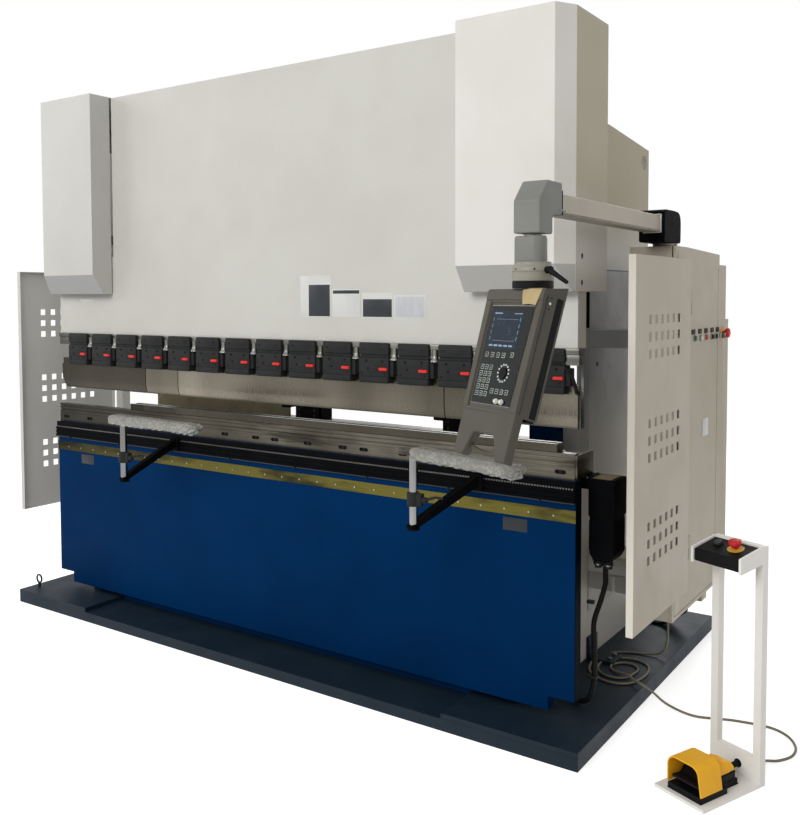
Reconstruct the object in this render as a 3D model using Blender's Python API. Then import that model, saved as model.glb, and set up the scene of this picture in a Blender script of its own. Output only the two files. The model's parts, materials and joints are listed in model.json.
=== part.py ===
"""A hydraulic press brake with a 3.2 m bed, its pendant control, supports, backgauge and pedal stand.

Metres, +Z up. X runs along the bed, +Y to the rear, and z = 0 is the underside of the base platform.
"""

import math

import bmesh
import bpy
import numpy as np
from mathutils import Matrix, Vector

# Clearances
GAP = 0.0003
GUIDE_GAP = 0.0005
RUNNING_GAP = 0.006

# Base platform
PLATFORM_MARGIN = 0.100
PLATFORM_FRONT = -0.591
PLATFORM_REAR = 1.15
PLATFORM_PLATE = 0.050
PAD_HEIGHT = 0.0216
PAD_WIDTH = 0.585

# Bed
BED_OVERHANG = 0.220
BED_FRONT = -0.387
BED_PLATE = 0.055
BED_BOTTOM = 0.099
BED_TOP = 1.0197
NOTCH_WIDTH = 0.1135
NOTCH_HEIGHT = 0.057
BEAM_DEPTH = 0.13
STRIP_BOTTOM = 0.858
STRIP_HEIGHT = 0.050
STRIP_THICK = 0.003
RAIL_BOTTOM = 0.939
RAIL_HEIGHT = 0.074
RAIL_LEDGE = 0.051
RAIL_DEPTH = 0.018
RAIL_STEP = 0.008
RAIL_GROOVE = 0.004

# Table and tools
TABLE_RIGHT_END = 0.013
TABLE_FRONT = -0.372
TABLE_DEPTH = 0.165
TABLE_HEIGHT = 0.103
TABLE_PLATE = 0.038
TABLE_LOW_HEIGHT = 0.075
DIE_HOLDER = 0.031
TOOL_LINE = -0.336
DIE_LENGTH = 2.505
DIE_MIDDLE = 0.2575
DIE_WIDTH = 0.062
DIE_HEIGHT = 0.0320
PUNCH_THICK = 0.028
PUNCH_HEIGHT = 0.135
PUNCH_TIP = 0.003

# Side frames
FRAME_OUTER = 1.380
FRAME_THICK = 0.060
FRAME_REAR = 1.030
FRAME_TOP = 2.540
FRAME_TOP_DROP = 0.060
FRAME_SLOPE_START = 0.400
FRAME_FRONT = -0.200
THROAT_REAR = 0.260
THROAT_HEIGHT = 0.780
NOSE_HEIGHT = 0.230
LIFT_HOLE = 0.035

# Ram
RAM_FRONT = -0.3635
RAM_THICK = 0.080
RAM_BOTTOM = 1.529
RAM_TOP = 2.809
RAM_SHOULDER = 1.950
RAM_STROKE = 0.055
ROD_RADIUS = 0.040
ROD_ROOT = 0.020
CYLINDER_RADIUS = 0.085
CYLINDER_BOTTOM = 2.080
CYLINDER_HEIGHT = 0.600
BLOCK_WIDTH = 0.160

# Clamps
CLAMP_COUNT = 15
CLAMP_LEFT_END = 0.1822
CLAMP_RIGHT_END = 0.1324
CLAMP_WIDTH = 0.160
CLAMP_HEIGHT = 0.177
CLAMP_DEPTH = 0.048
CLAMP_UPPER = 0.090
CLAMP_LOWER = 0.052
CARRIER_HEIGHT = 0.078
CARRIER_THICK = 0.050

# Cylinder covers
COVER_INSIDE = 0.254
COVER_OUTSIDE = 0.223
COVER_FRONT = -0.4957
COVER_REAR = -0.100
COVER_BOTTOM = 1.749
COVER_TOP = 2.813
COVER_SHEET = 0.004
COVER_CHAMFER_X = 0.051
COVER_CHAMFER_Y = 0.0857
COVER_SLANT_HEIGHT = 0.103
COVER_SLANT_DEPTH = 0.070

# Electrical cabinet
CABINET_STANDOFF = 0.245
CABINET_WIDTH = 0.1965
CABINET_FRONT = 0.100
CABINET_BOTTOM = 0.370
CABINET_TOP = 1.936
CABINET_DEPTH = 0.645
CABINET_FALL = 0.014
DUCT_DEPTH = 0.115
DUCT_DROP = 0.061
LOW_DUCT_DEPTH = 0.050
LOW_DUCT_DROP = 0.316
ARM_SECTION = 0.080
LOW_ARM_Z = 0.480
HIGH_ARM_Z = 1.500
CABINET_ARM_DEPTH = 0.220

# Side guards
GUARD_STANDOFF = 0.0335
GUARD_DEPTH = 0.027
GUARD_FRONT = -0.463
GUARD_LENGTH = 0.659
GUARD_BOTTOM = 0.488
GUARD_HEIGHT = 1.393
GUARD_SHEET = 0.003
HOLE_WIDTH = 0.031
HOLE_HEIGHT = 0.034
HOLE_PITCH_Y = 0.068
HOLE_PITCH_Z = 0.065
HOLE_COLUMNS = 6
HOLE_OFFSET = 0.004
HOLE_ROWS = 3
GROUP_PITCH = 0.390
HINGE_RADIUS = 0.009
HINGE_INSET = 0.008
HINGE_KNUCKLE = 0.050
HINGE_OFFSET = 0.016
HINGE_FROM_END = 0.180
POST_SECTION = 0.060

# Pendant
PIVOT_Y = 0.155
BASE_RADIUS = 0.050
BASE_HEIGHT = 0.012
KNUCKLE_WALL = 0.028
KNUCKLE_CHEEK = 0.030
KNUCKLE_LENGTH = 0.130
KNUCKLE_ROUND = 0.007
BEAM_SECTION = 0.064
BEAM_BOTTOM = 1.990
SWIVEL_INSET = 0.0655
SWIVEL_Y = -1.090
ELBOW_WIDTH = 0.090
ELBOW_DEPTH = 0.092
ELBOW_TOP = 2.085
ELBOW_BOTTOM = 1.920
ELBOW_CHAMFER = 0.055
ELBOW_SOCKET = 0.070
SWIVEL_BLOCK = 0.082
COLLAR_RADIUS = 0.064
COLLAR_HEIGHT = 0.056
RING_HEIGHT = 0.028
CONTROL_TURN = math.radians(-24.0)
CONTROL_TILT = math.radians(16.5)
CONTROL_WIDTH = 0.2726
CONTROL_OFFSET = -0.0227
CONTROL_TAPER = 0.020
CONTROL_HEIGHT = 0.400
CONTROL_DEPTH = 0.085
CONTROL_CORNER = 0.010
GRIP_HEIGHT = 0.140
GRIP_LEG = 0.048
GRIP_DEPTH = 0.034
GRIP_WINDOW = 0.075
GRIP_SPLAY = 0.030
GRIP_TUBE = 0.011
LEVER_REACH = 0.089
LEVER_DROP = 0.039
LEVER_RADIUS = 0.009
LEVER_TIP = 0.006
LEVER_HUB = 0.011

# Crowning drive at the right end of the bed
MOTOR_STANDOFF = 0.057
MOTOR_Y = -0.225
MOTOR_WIDTH = 0.100
MOTOR_DEPTH = 0.130
MOTOR_BOTTOM = 0.700
MOTOR_FOOT = 0.035
MOTOR_FOOT_RADIUS = 0.025
BELT_THICK = 0.045
BELT_REACH = 0.070
DRIVE_CABLE = 0.011

# Front supports
SUPPORT_LEFT_X = -0.569
SUPPORT_RIGHT_X = 1.099
SUPPORT_LEFT_SKEW = -0.035
SUPPORT_RIGHT_SKEW = 0.075
SUPPORT_Y = -0.760
SUPPORT_BLOCK = 0.060
SUPPORT_BAR = 0.034
SUPPORT_BAR_HEIGHT = 0.058
SUPPORT_POST_RADIUS = 0.016
SUPPORT_POST_BOTTOM = 0.855
SUPPORT_POST_TOP = 1.132
SUPPORT_COLLAR_Z = 0.9635
SUPPORT_COLLAR_HEIGHT = 0.053
SUPPORT_COLLAR_RADIUS = 0.026
SUPPORT_FOOT_RADIUS = 0.024
SUPPORT_LEVER_REACH = 0.084
SUPPORT_LEVER_RADIUS = 0.008
SUPPORT_ARM_WIDTH = 0.060
SUPPORT_ARM_THICK = 0.020
SUPPORT_ARM_BACK = 0.075
SUPPORT_ARM_LENGTH = 0.530
SUPPORT_LEFT_TURN = math.radians(-3.0)
SUPPORT_RIGHT_TURN = math.radians(-15.0)
WRAP_THICK = 0.013
WRAP_LEFT_START = -0.068
WRAP_RIGHT_START = 0.020

# Backgauge
GAUGE_RAIL_INSET = 0.370
GAUGE_RAIL_WIDTH = 0.080
GAUGE_RAIL_HEIGHT = 0.090
GAUGE_RAIL_TOP = 0.930
GAUGE_RAIL_LENGTH = 0.980
GAUGE_BEAM_Y = 0.140
GAUGE_BEAM_DEPTH = 0.070
GAUGE_BEAM_INSET = 0.170
GAUGE_BEAM_BOTTOM = 1.000
GAUGE_BEAM_HEIGHT = 0.080
GAUGE_HOUSING_WIDTH = 0.120
GAUGE_HOUSING_HEIGHT = 0.150
FINGER_LEFT_X = -0.150
FINGER_RIGHT_X = 0.780
FINGER_WIDTH = 0.180
FINGER_REACH = 0.200
FINGER_TIP = 0.016

# Oil tank and rear tie between the side frames
TANK_FRONT = 0.320
TANK_DEPTH = 0.520
TANK_BOTTOM = 1.950
TANK_HEIGHT = 0.480
TIE_BOTTOM = 0.250
TIE_HEIGHT = 0.300
TIE_DEPTH = 0.080

# Foot pedal stand, turned on the floor beside the platform
STAND_X = 2.1224
STAND_Y = -0.4136
STAND_TURN = math.radians(-23.0)
STAND_WIDTH = 0.212
STAND_DEPTH = 0.329
STAND_PLATE = 0.012
STAND_HEIGHT = 0.857
STAND_SHEET = 0.030
STAND_POST = 0.030
STAND_SILL = 0.095
BOX_HEIGHT = 0.080
BOX_DEPTH = 0.120
BOX_SLOPE = 0.025
BOX_RISE = 0.020
BOX_BRIM = 0.010
STOP_X = 0.030
STOP_BACK = 0.049
STOP_RADIUS = 0.022
STOP_HEIGHT = 0.024
STOP_TRAVEL = 0.004
PEDAL_WIDTH = 0.149
PEDAL_DEPTH = 0.224
PEDAL_HEIGHT = 0.022
PEDAL_FRONT = -0.147
PEDAL_SIDE = 0.009
PEDAL_STEP = 0.140
PEDAL_REAR_WIDTH = 0.100
PEDAL_LIP = 0.014
HOOD_HEIGHT = 0.099
HOOD_DEPTH = 0.114
HOOD_SHEET = 0.005
HOOD_REAR_HEIGHT = 0.066
TREADLE_THICK = 0.010
TREADLE_PIN = 0.004
CABLE_RADIUS = 0.005
GLAND_RADIUS = 0.010
GLAND_HEIGHT = 0.053
GLAND_LENGTH = 0.018
CABINET_GLAND_INSET = 0.075
CABINET_GLAND_Y = 0.425
TREADLE_RISE = math.radians(9.0)

# Cabinet buttons
BUTTON_Z = 1.556
BUTTON_FIRST_Y = 0.360
BUTTON_PITCH = 0.090
BUTTON_COUNT = 5
BUTTON_RADIUS = 0.014
BUTTON_REACH = 0.016
STRIP_BACK = 0.004

for old in list(bpy.data.objects):
    bpy.data.objects.remove(old)


def finish(name, colour, roughness, metallic=0.0):
    """A Principled material of one colour."""
    material = bpy.data.materials.get(name)
    if material is None:
        material = bpy.data.materials.new(name)
        material.use_nodes = True
        shader = material.node_tree.nodes["Principled BSDF"]
        shader.inputs["Base Color"].default_value = (*colour, 1.0)
        shader.inputs["Roughness"].default_value = roughness
        shader.inputs["Metallic"].default_value = metallic
    return material


WHITE = finish("white_paint", (0.68, 0.66, 0.62), 0.45)
BLUE = finish("blue_paint", (0.005, 0.04, 0.14), 0.4)
DARK_BLUE = finish("platform_paint", (0.008, 0.022, 0.05), 0.5)
GREY = finish("frame_paint", (0.33, 0.33, 0.33), 0.5)
STEEL = finish("ground_steel", (0.35, 0.33, 0.30), 0.35, 1.0)
BRASS = finish("brass_strip", (0.30, 0.26, 0.07), 0.4, 1.0)
BLACK = finish("black_plastic", (0.015, 0.015, 0.017), 0.5)
CHROME = finish("chrome", (0.6, 0.6, 0.6), 0.15, 1.0)
TAUPE = finish("control_paint", (0.11, 0.10, 0.085), 0.45)
ELBOW = finish("elbow_paint", (0.26, 0.27, 0.25), 0.4)
YELLOW = finish("pedal_yellow", (0.78, 0.38, 0.01), 0.4)
RED = finish("stop_red", (0.6, 0.03, 0.03), 0.35)
WRAP = finish("bubble_wrap", (0.7, 0.7, 0.7), 0.25)
CABLE = finish("cable_grey", (0.25, 0.23, 0.20), 0.5)


def from_bmesh(name, shape, material, smooth=False):
    """An object from a bmesh, with its normals facing out."""
    bmesh.ops.recalc_face_normals(shape, faces=shape.faces)
    mesh = bpy.data.meshes.new(name)
    shape.to_mesh(mesh)
    shape.free()
    mesh.materials.append(material)
    if smooth:
        mesh.shade_smooth()
        mesh.set_sharp_from_angle(angle=math.radians(35))
    made = bpy.data.objects.new(name, mesh)
    bpy.context.scene.collection.objects.link(made)
    return made


def box(name, low, high, material):
    """A box between two corners."""
    shape = bmesh.new()
    middle = (Vector(low) + Vector(high)) / 2
    size = Vector(high) - Vector(low)
    place = Matrix.Translation(middle) @ Matrix.Diagonal((*size, 1.0))
    bmesh.ops.create_cube(shape, size=1.0, matrix=place)
    return from_bmesh(name, shape, material)


def prism(name, outline, along, low, high, material):
    """An outline in the plane across one axis, extruded along it from low to high."""
    shape = bmesh.new()

    def corner(a, b, c):
        return {"X": (c, a, b), "Y": (a, c, b), "Z": (a, b, c)}[along]

    face = shape.faces.new([shape.verts.new(corner(a, b, low)) for a, b in outline])
    pushed = bmesh.ops.extrude_face_region(shape, geom=[face])
    step = Vector(corner(0.0, 0.0, high - low))
    verts = [item for item in pushed["geom"] if isinstance(item, bmesh.types.BMVert)]
    bmesh.ops.translate(shape, vec=step, verts=verts)
    return from_bmesh(name, shape, material)


def rod(name, start, end, radius, material, sides=24, tip=None):
    """A round bar or cone between two points."""
    shape = bmesh.new()
    run = Vector(end) - Vector(start)
    turn = run.to_track_quat("Z", "Y").to_matrix().to_4x4()
    place = Matrix.Translation((Vector(start) + Vector(end)) / 2) @ turn
    end_radius = radius if tip is None else tip
    bmesh.ops.create_cone(
        shape, cap_ends=True, segments=sides, radius1=radius, radius2=end_radius,
        depth=run.length, matrix=place,
    )
    return from_bmesh(name, shape, material, smooth=True)


def combine(target, other, operation):
    """Joins another shape to this one, or cuts it away, and removes the other."""
    step = target.modifiers.new(operation.lower(), "BOOLEAN")
    step.operation = operation
    step.solver = "EXACT"
    step.object = other
    bpy.context.view_layer.update()
    graph = bpy.context.evaluated_depsgraph_get()
    result = bpy.data.meshes.new_from_object(target.evaluated_get(graph))
    target.modifiers.clear()
    target.data = result
    bpy.data.objects.remove(other)
    return target


def join(target, *others):
    """The union of a shape with others."""
    for other in others:
        combine(target, other, "UNION")
    return target


def cut(target, *others):
    """A shape with others cut away."""
    for other in others:
        combine(target, other, "DIFFERENCE")
    return target


def set_origin(thing, point):
    """Moves an object's origin to a point without moving its shape."""
    offset = Vector(point) - thing.location
    thing.data.transform(Matrix.Translation(-offset))
    thing.location = Vector(point)
    return thing


def bevel(thing, width, segments=1):
    """Rounds the sharp edges."""
    step = thing.modifiers.new("edges", "BEVEL")
    step.width = width
    step.segments = segments
    step.limit_method = "ANGLE"
    step.angle_limit = math.radians(50)
    return thing


def tube(name, points, radius, material, resolution=2):
    """A cable along a smooth curve through hand-chosen points, read every two and a half diameters."""
    route = smooth_route(points, 5.0 * radius)
    data = bpy.data.curves.new(name, "CURVE")
    data.dimensions = "3D"
    data.bevel_depth = radius
    data.bevel_resolution = resolution
    data.use_fill_caps = True
    spline = data.splines.new("POLY")
    spline.points.add(len(route) - 1)
    for slot, point in zip(spline.points, route):
        slot.co = (*point, 1.0)
    data.materials.append(material)
    made = bpy.data.objects.new(name, data)
    bpy.context.scene.collection.objects.link(made)
    return made


def smooth_route(points, spacing):
    """Points at an even spacing along a Catmull-Rom curve through the given ones."""
    given = np.array(points, float)
    ends = np.vstack([2 * given[0] - given[1], given, 2 * given[-1] - given[-2]])
    t = np.linspace(0.0, 1.0, 24, endpoint=False)[:, None]
    parts = []
    for a, b, c, d in zip(ends[:-3], ends[1:-2], ends[2:-1], ends[3:]):
        bend = 2 * a - 5 * b + 4 * c - d
        twist = 3 * b - a - 3 * c + d
        parts.append(0.5 * (2 * b + (c - a) * t + bend * t**2 + twist * t**3))
    fine = np.vstack([*parts, given[-1:]])
    walked = np.concatenate([[0.0], np.cumsum(np.linalg.norm(np.diff(fine, axis=0), axis=1))])
    count = max(2, int(round(walked[-1] / spacing)) + 1)
    even = np.linspace(0.0, walked[-1], count)
    return np.stack([np.interp(even, walked, fine[:, k]) for k in range(3)], axis=1)


PAD_TOP = PLATFORM_PLATE + PAD_HEIGHT
BED_HALF = FRAME_OUTER + BED_OVERHANG
PLATFORM_HALF = BED_HALF + PLATFORM_MARGIN
BED_BACK = BED_FRONT + BED_PLATE
BEAM_BACK = BED_BACK + BEAM_DEPTH
FRAME_INNER = FRAME_OUTER - FRAME_THICK
CYLINDER_X = FRAME_OUTER - FRAME_THICK / 2
TABLE_BOTTOM = BED_TOP + GAP
TABLE_TOP = TABLE_BOTTOM + TABLE_HEIGHT
DIE_BOTTOM = TABLE_TOP + GAP
RAM_BACK = RAM_FRONT + RAM_THICK
CLAMP_TOP = RAM_BOTTOM - GAP
CLAMP_BOTTOM = CLAMP_TOP - CLAMP_HEIGHT
COVER_INNER = FRAME_OUTER - COVER_INSIDE
COVER_OUTER = FRAME_OUTER + COVER_OUTSIDE
CABINET_INNER = FRAME_OUTER + CABINET_STANDOFF
CABINET_OUTER = CABINET_INNER + CABINET_WIDTH
CABINET_REAR = CABINET_FRONT + CABINET_DEPTH
CABINET_GLAND_X = CABINET_INNER + CABINET_GLAND_INSET
GUARD_OUTER = CABINET_OUTER + GUARD_STANDOFF
GUARD_REAR = GUARD_FRONT + GUARD_LENGTH
HINGE_X = GUARD_OUTER - HINGE_INSET
SWIVEL_X = CABINET_OUTER - SWIVEL_INSET
MOTOR_X = BED_HALF + MOTOR_STANDOFF
GAUGE_RAIL_X = FRAME_INNER - GAUGE_RAIL_INSET
GAUGE_BEAM_HALF = FRAME_INNER - GAUGE_BEAM_INSET
GUARD_TOP = GUARD_BOTTOM + GUARD_HEIGHT
HINGE_Y = GUARD_REAR + HINGE_OFFSET


def base_platform():
    half = PLATFORM_HALF
    pad = half - PAD_WIDTH
    outline = [
        (-half, 0.0), (half, 0.0), (half, PAD_TOP), (pad, PAD_TOP), (pad, PLATFORM_PLATE),
        (-pad, PLATFORM_PLATE), (-pad, PAD_TOP), (-half, PAD_TOP),
    ]
    prism("base_platform", outline, "Y", PLATFORM_FRONT, PLATFORM_REAR, DARK_BLUE)


def bed():
    notch = BED_HALF - NOTCH_WIDTH
    step = BED_BOTTOM + NOTCH_HEIGHT
    outline = [
        (-notch, BED_BOTTOM), (notch, BED_BOTTOM), (notch, step), (BED_HALF, step),
        (BED_HALF, BED_TOP), (-BED_HALF, BED_TOP), (-BED_HALF, step), (-notch, step),
    ]
    prism("bed_front_plate", outline, "Y", BED_FRONT, BED_BACK, BLUE)
    inner = FRAME_INNER - GAP
    pad = PLATFORM_HALF - PAD_WIDTH - GAP
    low, high = PLATFORM_PLATE + GAP, PAD_TOP + GAP
    section = [
        (-pad, low), (pad, low), (pad, high), (inner, high), (inner, BED_TOP), (-inner, BED_TOP),
        (-inner, high), (-pad, high),
    ]
    prism("bed_beam", section, "Y", BED_BACK + GAP, BEAM_BACK, BLUE)
    box(
        "brass_strip",
        (-BED_HALF, BED_FRONT - GAP - STRIP_THICK, STRIP_BOTTOM),
        (BED_HALF, BED_FRONT - GAP, STRIP_BOTTOM + STRIP_HEIGHT),
        BRASS,
    )


def support_rail():
    """A grooved linear rail with a stepped back, along the top of the bed's front, for the supports."""
    back = BED_FRONT - GAP
    front = back - RAIL_DEPTH
    top = RAIL_BOTTOM + RAIL_HEIGHT
    ledge = RAIL_BOTTOM + RAIL_LEDGE
    groove = RAIL_LEDGE / 5
    outline = [
        (back, RAIL_BOTTOM), (back, top), (front + RAIL_STEP, top), (front + RAIL_STEP, ledge),
        (front, ledge), (front, ledge - groove),
        (front + RAIL_GROOVE, ledge - groove), (front + RAIL_GROOVE, ledge - 2 * groove),
        (front, ledge - 2 * groove), (front, ledge - 3 * groove),
        (front + RAIL_GROOVE, ledge - 3 * groove), (front + RAIL_GROOVE, ledge - 4 * groove),
        (front, ledge - 4 * groove), (front, RAIL_BOTTOM),
    ]
    prism("support_rail", outline, "X", -BED_HALF, BED_HALF, BLACK)


def crowning_table():
    """The steel table: a tall grooved front plate, a lower base behind it and a holder under the die."""
    front = TABLE_FRONT
    back = TABLE_FRONT + TABLE_DEPTH
    plate = TABLE_FRONT + TABLE_PLATE
    low_top = TABLE_BOTTOM + TABLE_LOW_HEIGHT
    rib = TABLE_HEIGHT / 14
    outline = [
        (back, TABLE_BOTTOM), (back, low_top), (plate, low_top), (plate, TABLE_TOP), (front, TABLE_TOP),
    ]
    for k in range(2):
        z = TABLE_TOP - (2 * k + 1) * rib
        outline += [(front, z), (front + rib, z), (front + rib, z - rib), (front, z - rib)]
    outline.append((front, TABLE_BOTTOM))
    table = prism("crowning_table", outline, "X", -BED_HALF, BED_HALF - TABLE_RIGHT_END, STEEL)
    low = DIE_MIDDLE - DIE_LENGTH / 2
    holder = box(
        "holder", (low, plate - TABLE_PLATE / 2, low_top - TABLE_PLATE / 2),
        (low + DIE_LENGTH, plate + DIE_HOLDER, TABLE_TOP), STEEL,
    )
    join(table, holder)


def bottom_die():
    """A V die: a bar with one wide V along its top."""
    half = DIE_WIDTH / 2
    top = DIE_BOTTOM + DIE_HEIGHT
    vee = DIE_WIDTH / 6
    outline = [
        (TOOL_LINE - half, DIE_BOTTOM), (TOOL_LINE + half, DIE_BOTTOM), (TOOL_LINE + half, top),
        (TOOL_LINE + vee, top), (TOOL_LINE, top - vee), (TOOL_LINE - vee, top),
        (TOOL_LINE - half, top),
    ]
    low = DIE_MIDDLE - DIE_LENGTH / 2
    prism("bottom_die", outline, "X", low, low + DIE_LENGTH, STEEL)


def side_frames():
    """Two C-shaped plates, each with a throat behind the tools and a nose that guides the ram."""
    throat_top = BED_TOP + THROAT_HEIGHT
    nose_top = throat_top + NOSE_HEIGHT
    foot = PAD_TOP + GAP
    outline = [
        (BED_BACK + GAP, foot), (FRAME_REAR, foot), (FRAME_REAR, FRAME_TOP - FRAME_TOP_DROP),
        (FRAME_SLOPE_START, FRAME_TOP), (FRAME_FRONT, FRAME_TOP), (FRAME_FRONT, nose_top),
        (RAM_BACK + GUIDE_GAP, nose_top), (RAM_BACK + GUIDE_GAP, throat_top),
        (THROAT_REAR, throat_top), (THROAT_REAR, BED_TOP), (BED_BACK + GAP, BED_TOP),
    ]
    hole_y = FRAME_REAR - 2 * LIFT_HOLE
    hole_z = FRAME_TOP - FRAME_TOP_DROP - 2 * LIFT_HOLE
    for side, name in ((-1, "left_side_frame"), (1, "right_side_frame")):
        low, high = sorted((side * FRAME_INNER, side * FRAME_OUTER))
        plate = prism(name, outline, "X", low, high, GREY)
        ends = (low - FRAME_THICK, hole_y, hole_z), (high + FRAME_THICK, hole_y, hole_z)
        cut(plate, rod("hole", *ends, LIFT_HOLE, GREY))


def rear_frame():
    """The oil tank and the tie beam that hold the side frames apart."""
    inner = FRAME_INNER - GAP
    box(
        "oil_tank", (-inner, TANK_FRONT, TANK_BOTTOM),
        (inner, TANK_FRONT + TANK_DEPTH, TANK_BOTTOM + TANK_HEIGHT), GREY,
    )
    box(
        "rear_tie_beam", (-inner, FRAME_REAR - TIE_DEPTH, TIE_BOTTOM),
        (inner, FRAME_REAR, TIE_BOTTOM + TIE_HEIGHT), GREY,
    )


def ram():
    """The ram: full width at the bottom, narrower between the covers, with a piston rod at each end."""
    wide = COVER_OUTER - COVER_SHEET - RUNNING_GAP
    narrow = COVER_INNER - RUNNING_GAP
    outline = [
        (-wide, RAM_BOTTOM), (wide, RAM_BOTTOM), (wide, RAM_SHOULDER), (narrow, RAM_SHOULDER),
        (narrow, RAM_TOP), (-narrow, RAM_TOP), (-narrow, RAM_SHOULDER), (-wide, RAM_SHOULDER),
    ]
    plate = prism("ram_plate", outline, "Y", RAM_FRONT, RAM_BACK, WHITE)
    middle = (RAM_FRONT + RAM_BACK) / 2
    top = CYLINDER_BOTTOM + 2 * RAM_STROKE
    for side in (-1, 1):
        x = side * CYLINDER_X
        ends = (x, middle, RAM_SHOULDER - ROD_ROOT), (x, middle, top)
        join(plate, rod("rod", *ends, ROD_RADIUS - GUIDE_GAP, WHITE))
    return plate


def cylinders():
    """A hydraulic cylinder on the front edge of each side frame, bored for its piston rod."""
    middle = (RAM_FRONT + RAM_BACK) / 2
    top = CYLINDER_BOTTOM + CYLINDER_HEIGHT
    block_top = min(top, FRAME_TOP)
    for side, name in ((-1, "left_cylinder"), (1, "right_cylinder")):
        x = side * CYLINDER_X
        ends = (x, middle, CYLINDER_BOTTOM), (x, middle, top)
        barrel = rod(name, *ends, CYLINDER_RADIUS, GREY, 32)
        half = BLOCK_WIDTH / 2
        block = box(
            "block", (x - half, middle, CYLINDER_BOTTOM),
            (x + half, FRAME_FRONT - GAP, block_top), GREY,
        )
        join(barrel, block)
        bore_top = CYLINDER_BOTTOM + 4 * RAM_STROKE
        bore = (x, middle, CYLINDER_BOTTOM - ROD_RADIUS), (x, middle, bore_top)
        cut(barrel, rod("bore", *bore, ROD_RADIUS, GREY))


def clamps():
    """Fifteen quick clamps on one carrier bar under the ram."""
    front = TOOL_LINE - CLAMP_DEPTH
    carrier = box(
        "clamp_row", (-BED_HALF, TOOL_LINE - CARRIER_THICK / 2, CLAMP_TOP - CARRIER_HEIGHT),
        (BED_HALF, TOOL_LINE + CARRIER_THICK / 2, CLAMP_TOP), BLACK,
    )
    back = TOOL_LINE + PUNCH_THICK
    waist = front + CLAMP_DEPTH / 4
    outline = [
        (front, CLAMP_TOP - RUNNING_GAP), (front, CLAMP_TOP - CLAMP_UPPER),
        (waist, CLAMP_TOP - CLAMP_UPPER), (waist, CLAMP_BOTTOM + CLAMP_LOWER),
        (front, CLAMP_BOTTOM + CLAMP_LOWER), (front, CLAMP_BOTTOM), (back, CLAMP_BOTTOM),
        (back, CLAMP_TOP - RUNNING_GAP),
    ]
    for x in np.linspace(CLAMP_LEFT_END - BED_HALF, BED_HALF - CLAMP_RIGHT_END, CLAMP_COUNT):
        low, high = x - CLAMP_WIDTH / 2, x + CLAMP_WIDTH / 2
        join(carrier, prism("clamp", outline, "X", low, high, BLACK))


def punch():
    """The upper tool: a bar that narrows to a long thin tip."""
    top = CLAMP_BOTTOM - GAP
    tip = top - PUNCH_HEIGHT
    half = PUNCH_THICK / 2
    shoulder = top - PUNCH_HEIGHT * 0.45
    outline = [
        (TOOL_LINE - half, top), (TOOL_LINE + half, top), (TOOL_LINE + half, shoulder),
        (TOOL_LINE + PUNCH_TIP, tip), (TOOL_LINE - PUNCH_TIP, tip), (TOOL_LINE - half, shoulder),
    ]
    prism("upper_punch", outline, "X", -BED_HALF, BED_HALF, STEEL)


def covers():
    """Sheet covers over the cylinders, open below and beside the ram, with a slanted front lower edge."""
    t = COVER_SHEET
    chamfer_x = COVER_OUTER - COVER_CHAMFER_X
    chamfer_y = COVER_FRONT + COVER_CHAMFER_Y
    frame_side = FRAME_OUTER + GAP
    inside_flange = RAM_FRONT - RUNNING_GAP
    beyond = COVER_INNER - 10 * t
    outer = [
        (COVER_INNER, COVER_FRONT), (chamfer_x, COVER_FRONT), (COVER_OUTER, chamfer_y),
        (COVER_OUTER, COVER_REAR), (COVER_INNER, COVER_REAR),
    ]
    hollow = [
        (COVER_INNER + t, COVER_FRONT + t), (chamfer_x - t / 2, COVER_FRONT + t),
        (COVER_OUTER - t, chamfer_y + t / 2), (COVER_OUTER - t, COVER_REAR - t),
        (frame_side, COVER_REAR - t), (frame_side, COVER_REAR + t), (beyond, COVER_REAR + t),
        (beyond, inside_flange), (COVER_INNER + t, inside_flange),
    ]
    slant_top = COVER_BOTTOM + COVER_SLANT_HEIGHT
    slant_back = COVER_FRONT + COVER_SLANT_DEPTH
    wedge = [
        (COVER_FRONT - t, COVER_BOTTOM - t), (slant_back, COVER_BOTTOM - t),
        (slant_back, COVER_BOTTOM), (COVER_FRONT, slant_top), (COVER_FRONT - t, slant_top),
    ]
    lift = t * math.hypot(COVER_SLANT_HEIGHT, COVER_SLANT_DEPTH) / COVER_SLANT_DEPTH
    sill = [
        (COVER_FRONT + t, COVER_BOTTOM - 5 * t), (slant_back + t / 2, COVER_BOTTOM - 5 * t),
        (slant_back + t / 2, COVER_BOTTOM), (COVER_FRONT + t, slant_top + lift - t / 2),
    ]
    for side, name in ((-1, "left_cylinder_cover"), (1, "right_cylinder_cover")):
        outside = [(side * x, y) for x, y in outer]
        inside = [(side * x, y) for x, y in hollow]
        shell = prism(name, outside, "Z", COVER_BOTTOM, COVER_TOP, WHITE)
        void = prism("void", inside, "Z", COVER_BOTTOM - t, COVER_TOP - t, WHITE)
        low, high = sorted((side * (COVER_INNER - t), side * (COVER_OUTER + t)))
        cut(void, prism("kept_sill", sill, "X", low, high, WHITE))
        cut(shell, void, prism("slant", wedge, "X", low, high, WHITE))


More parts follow.
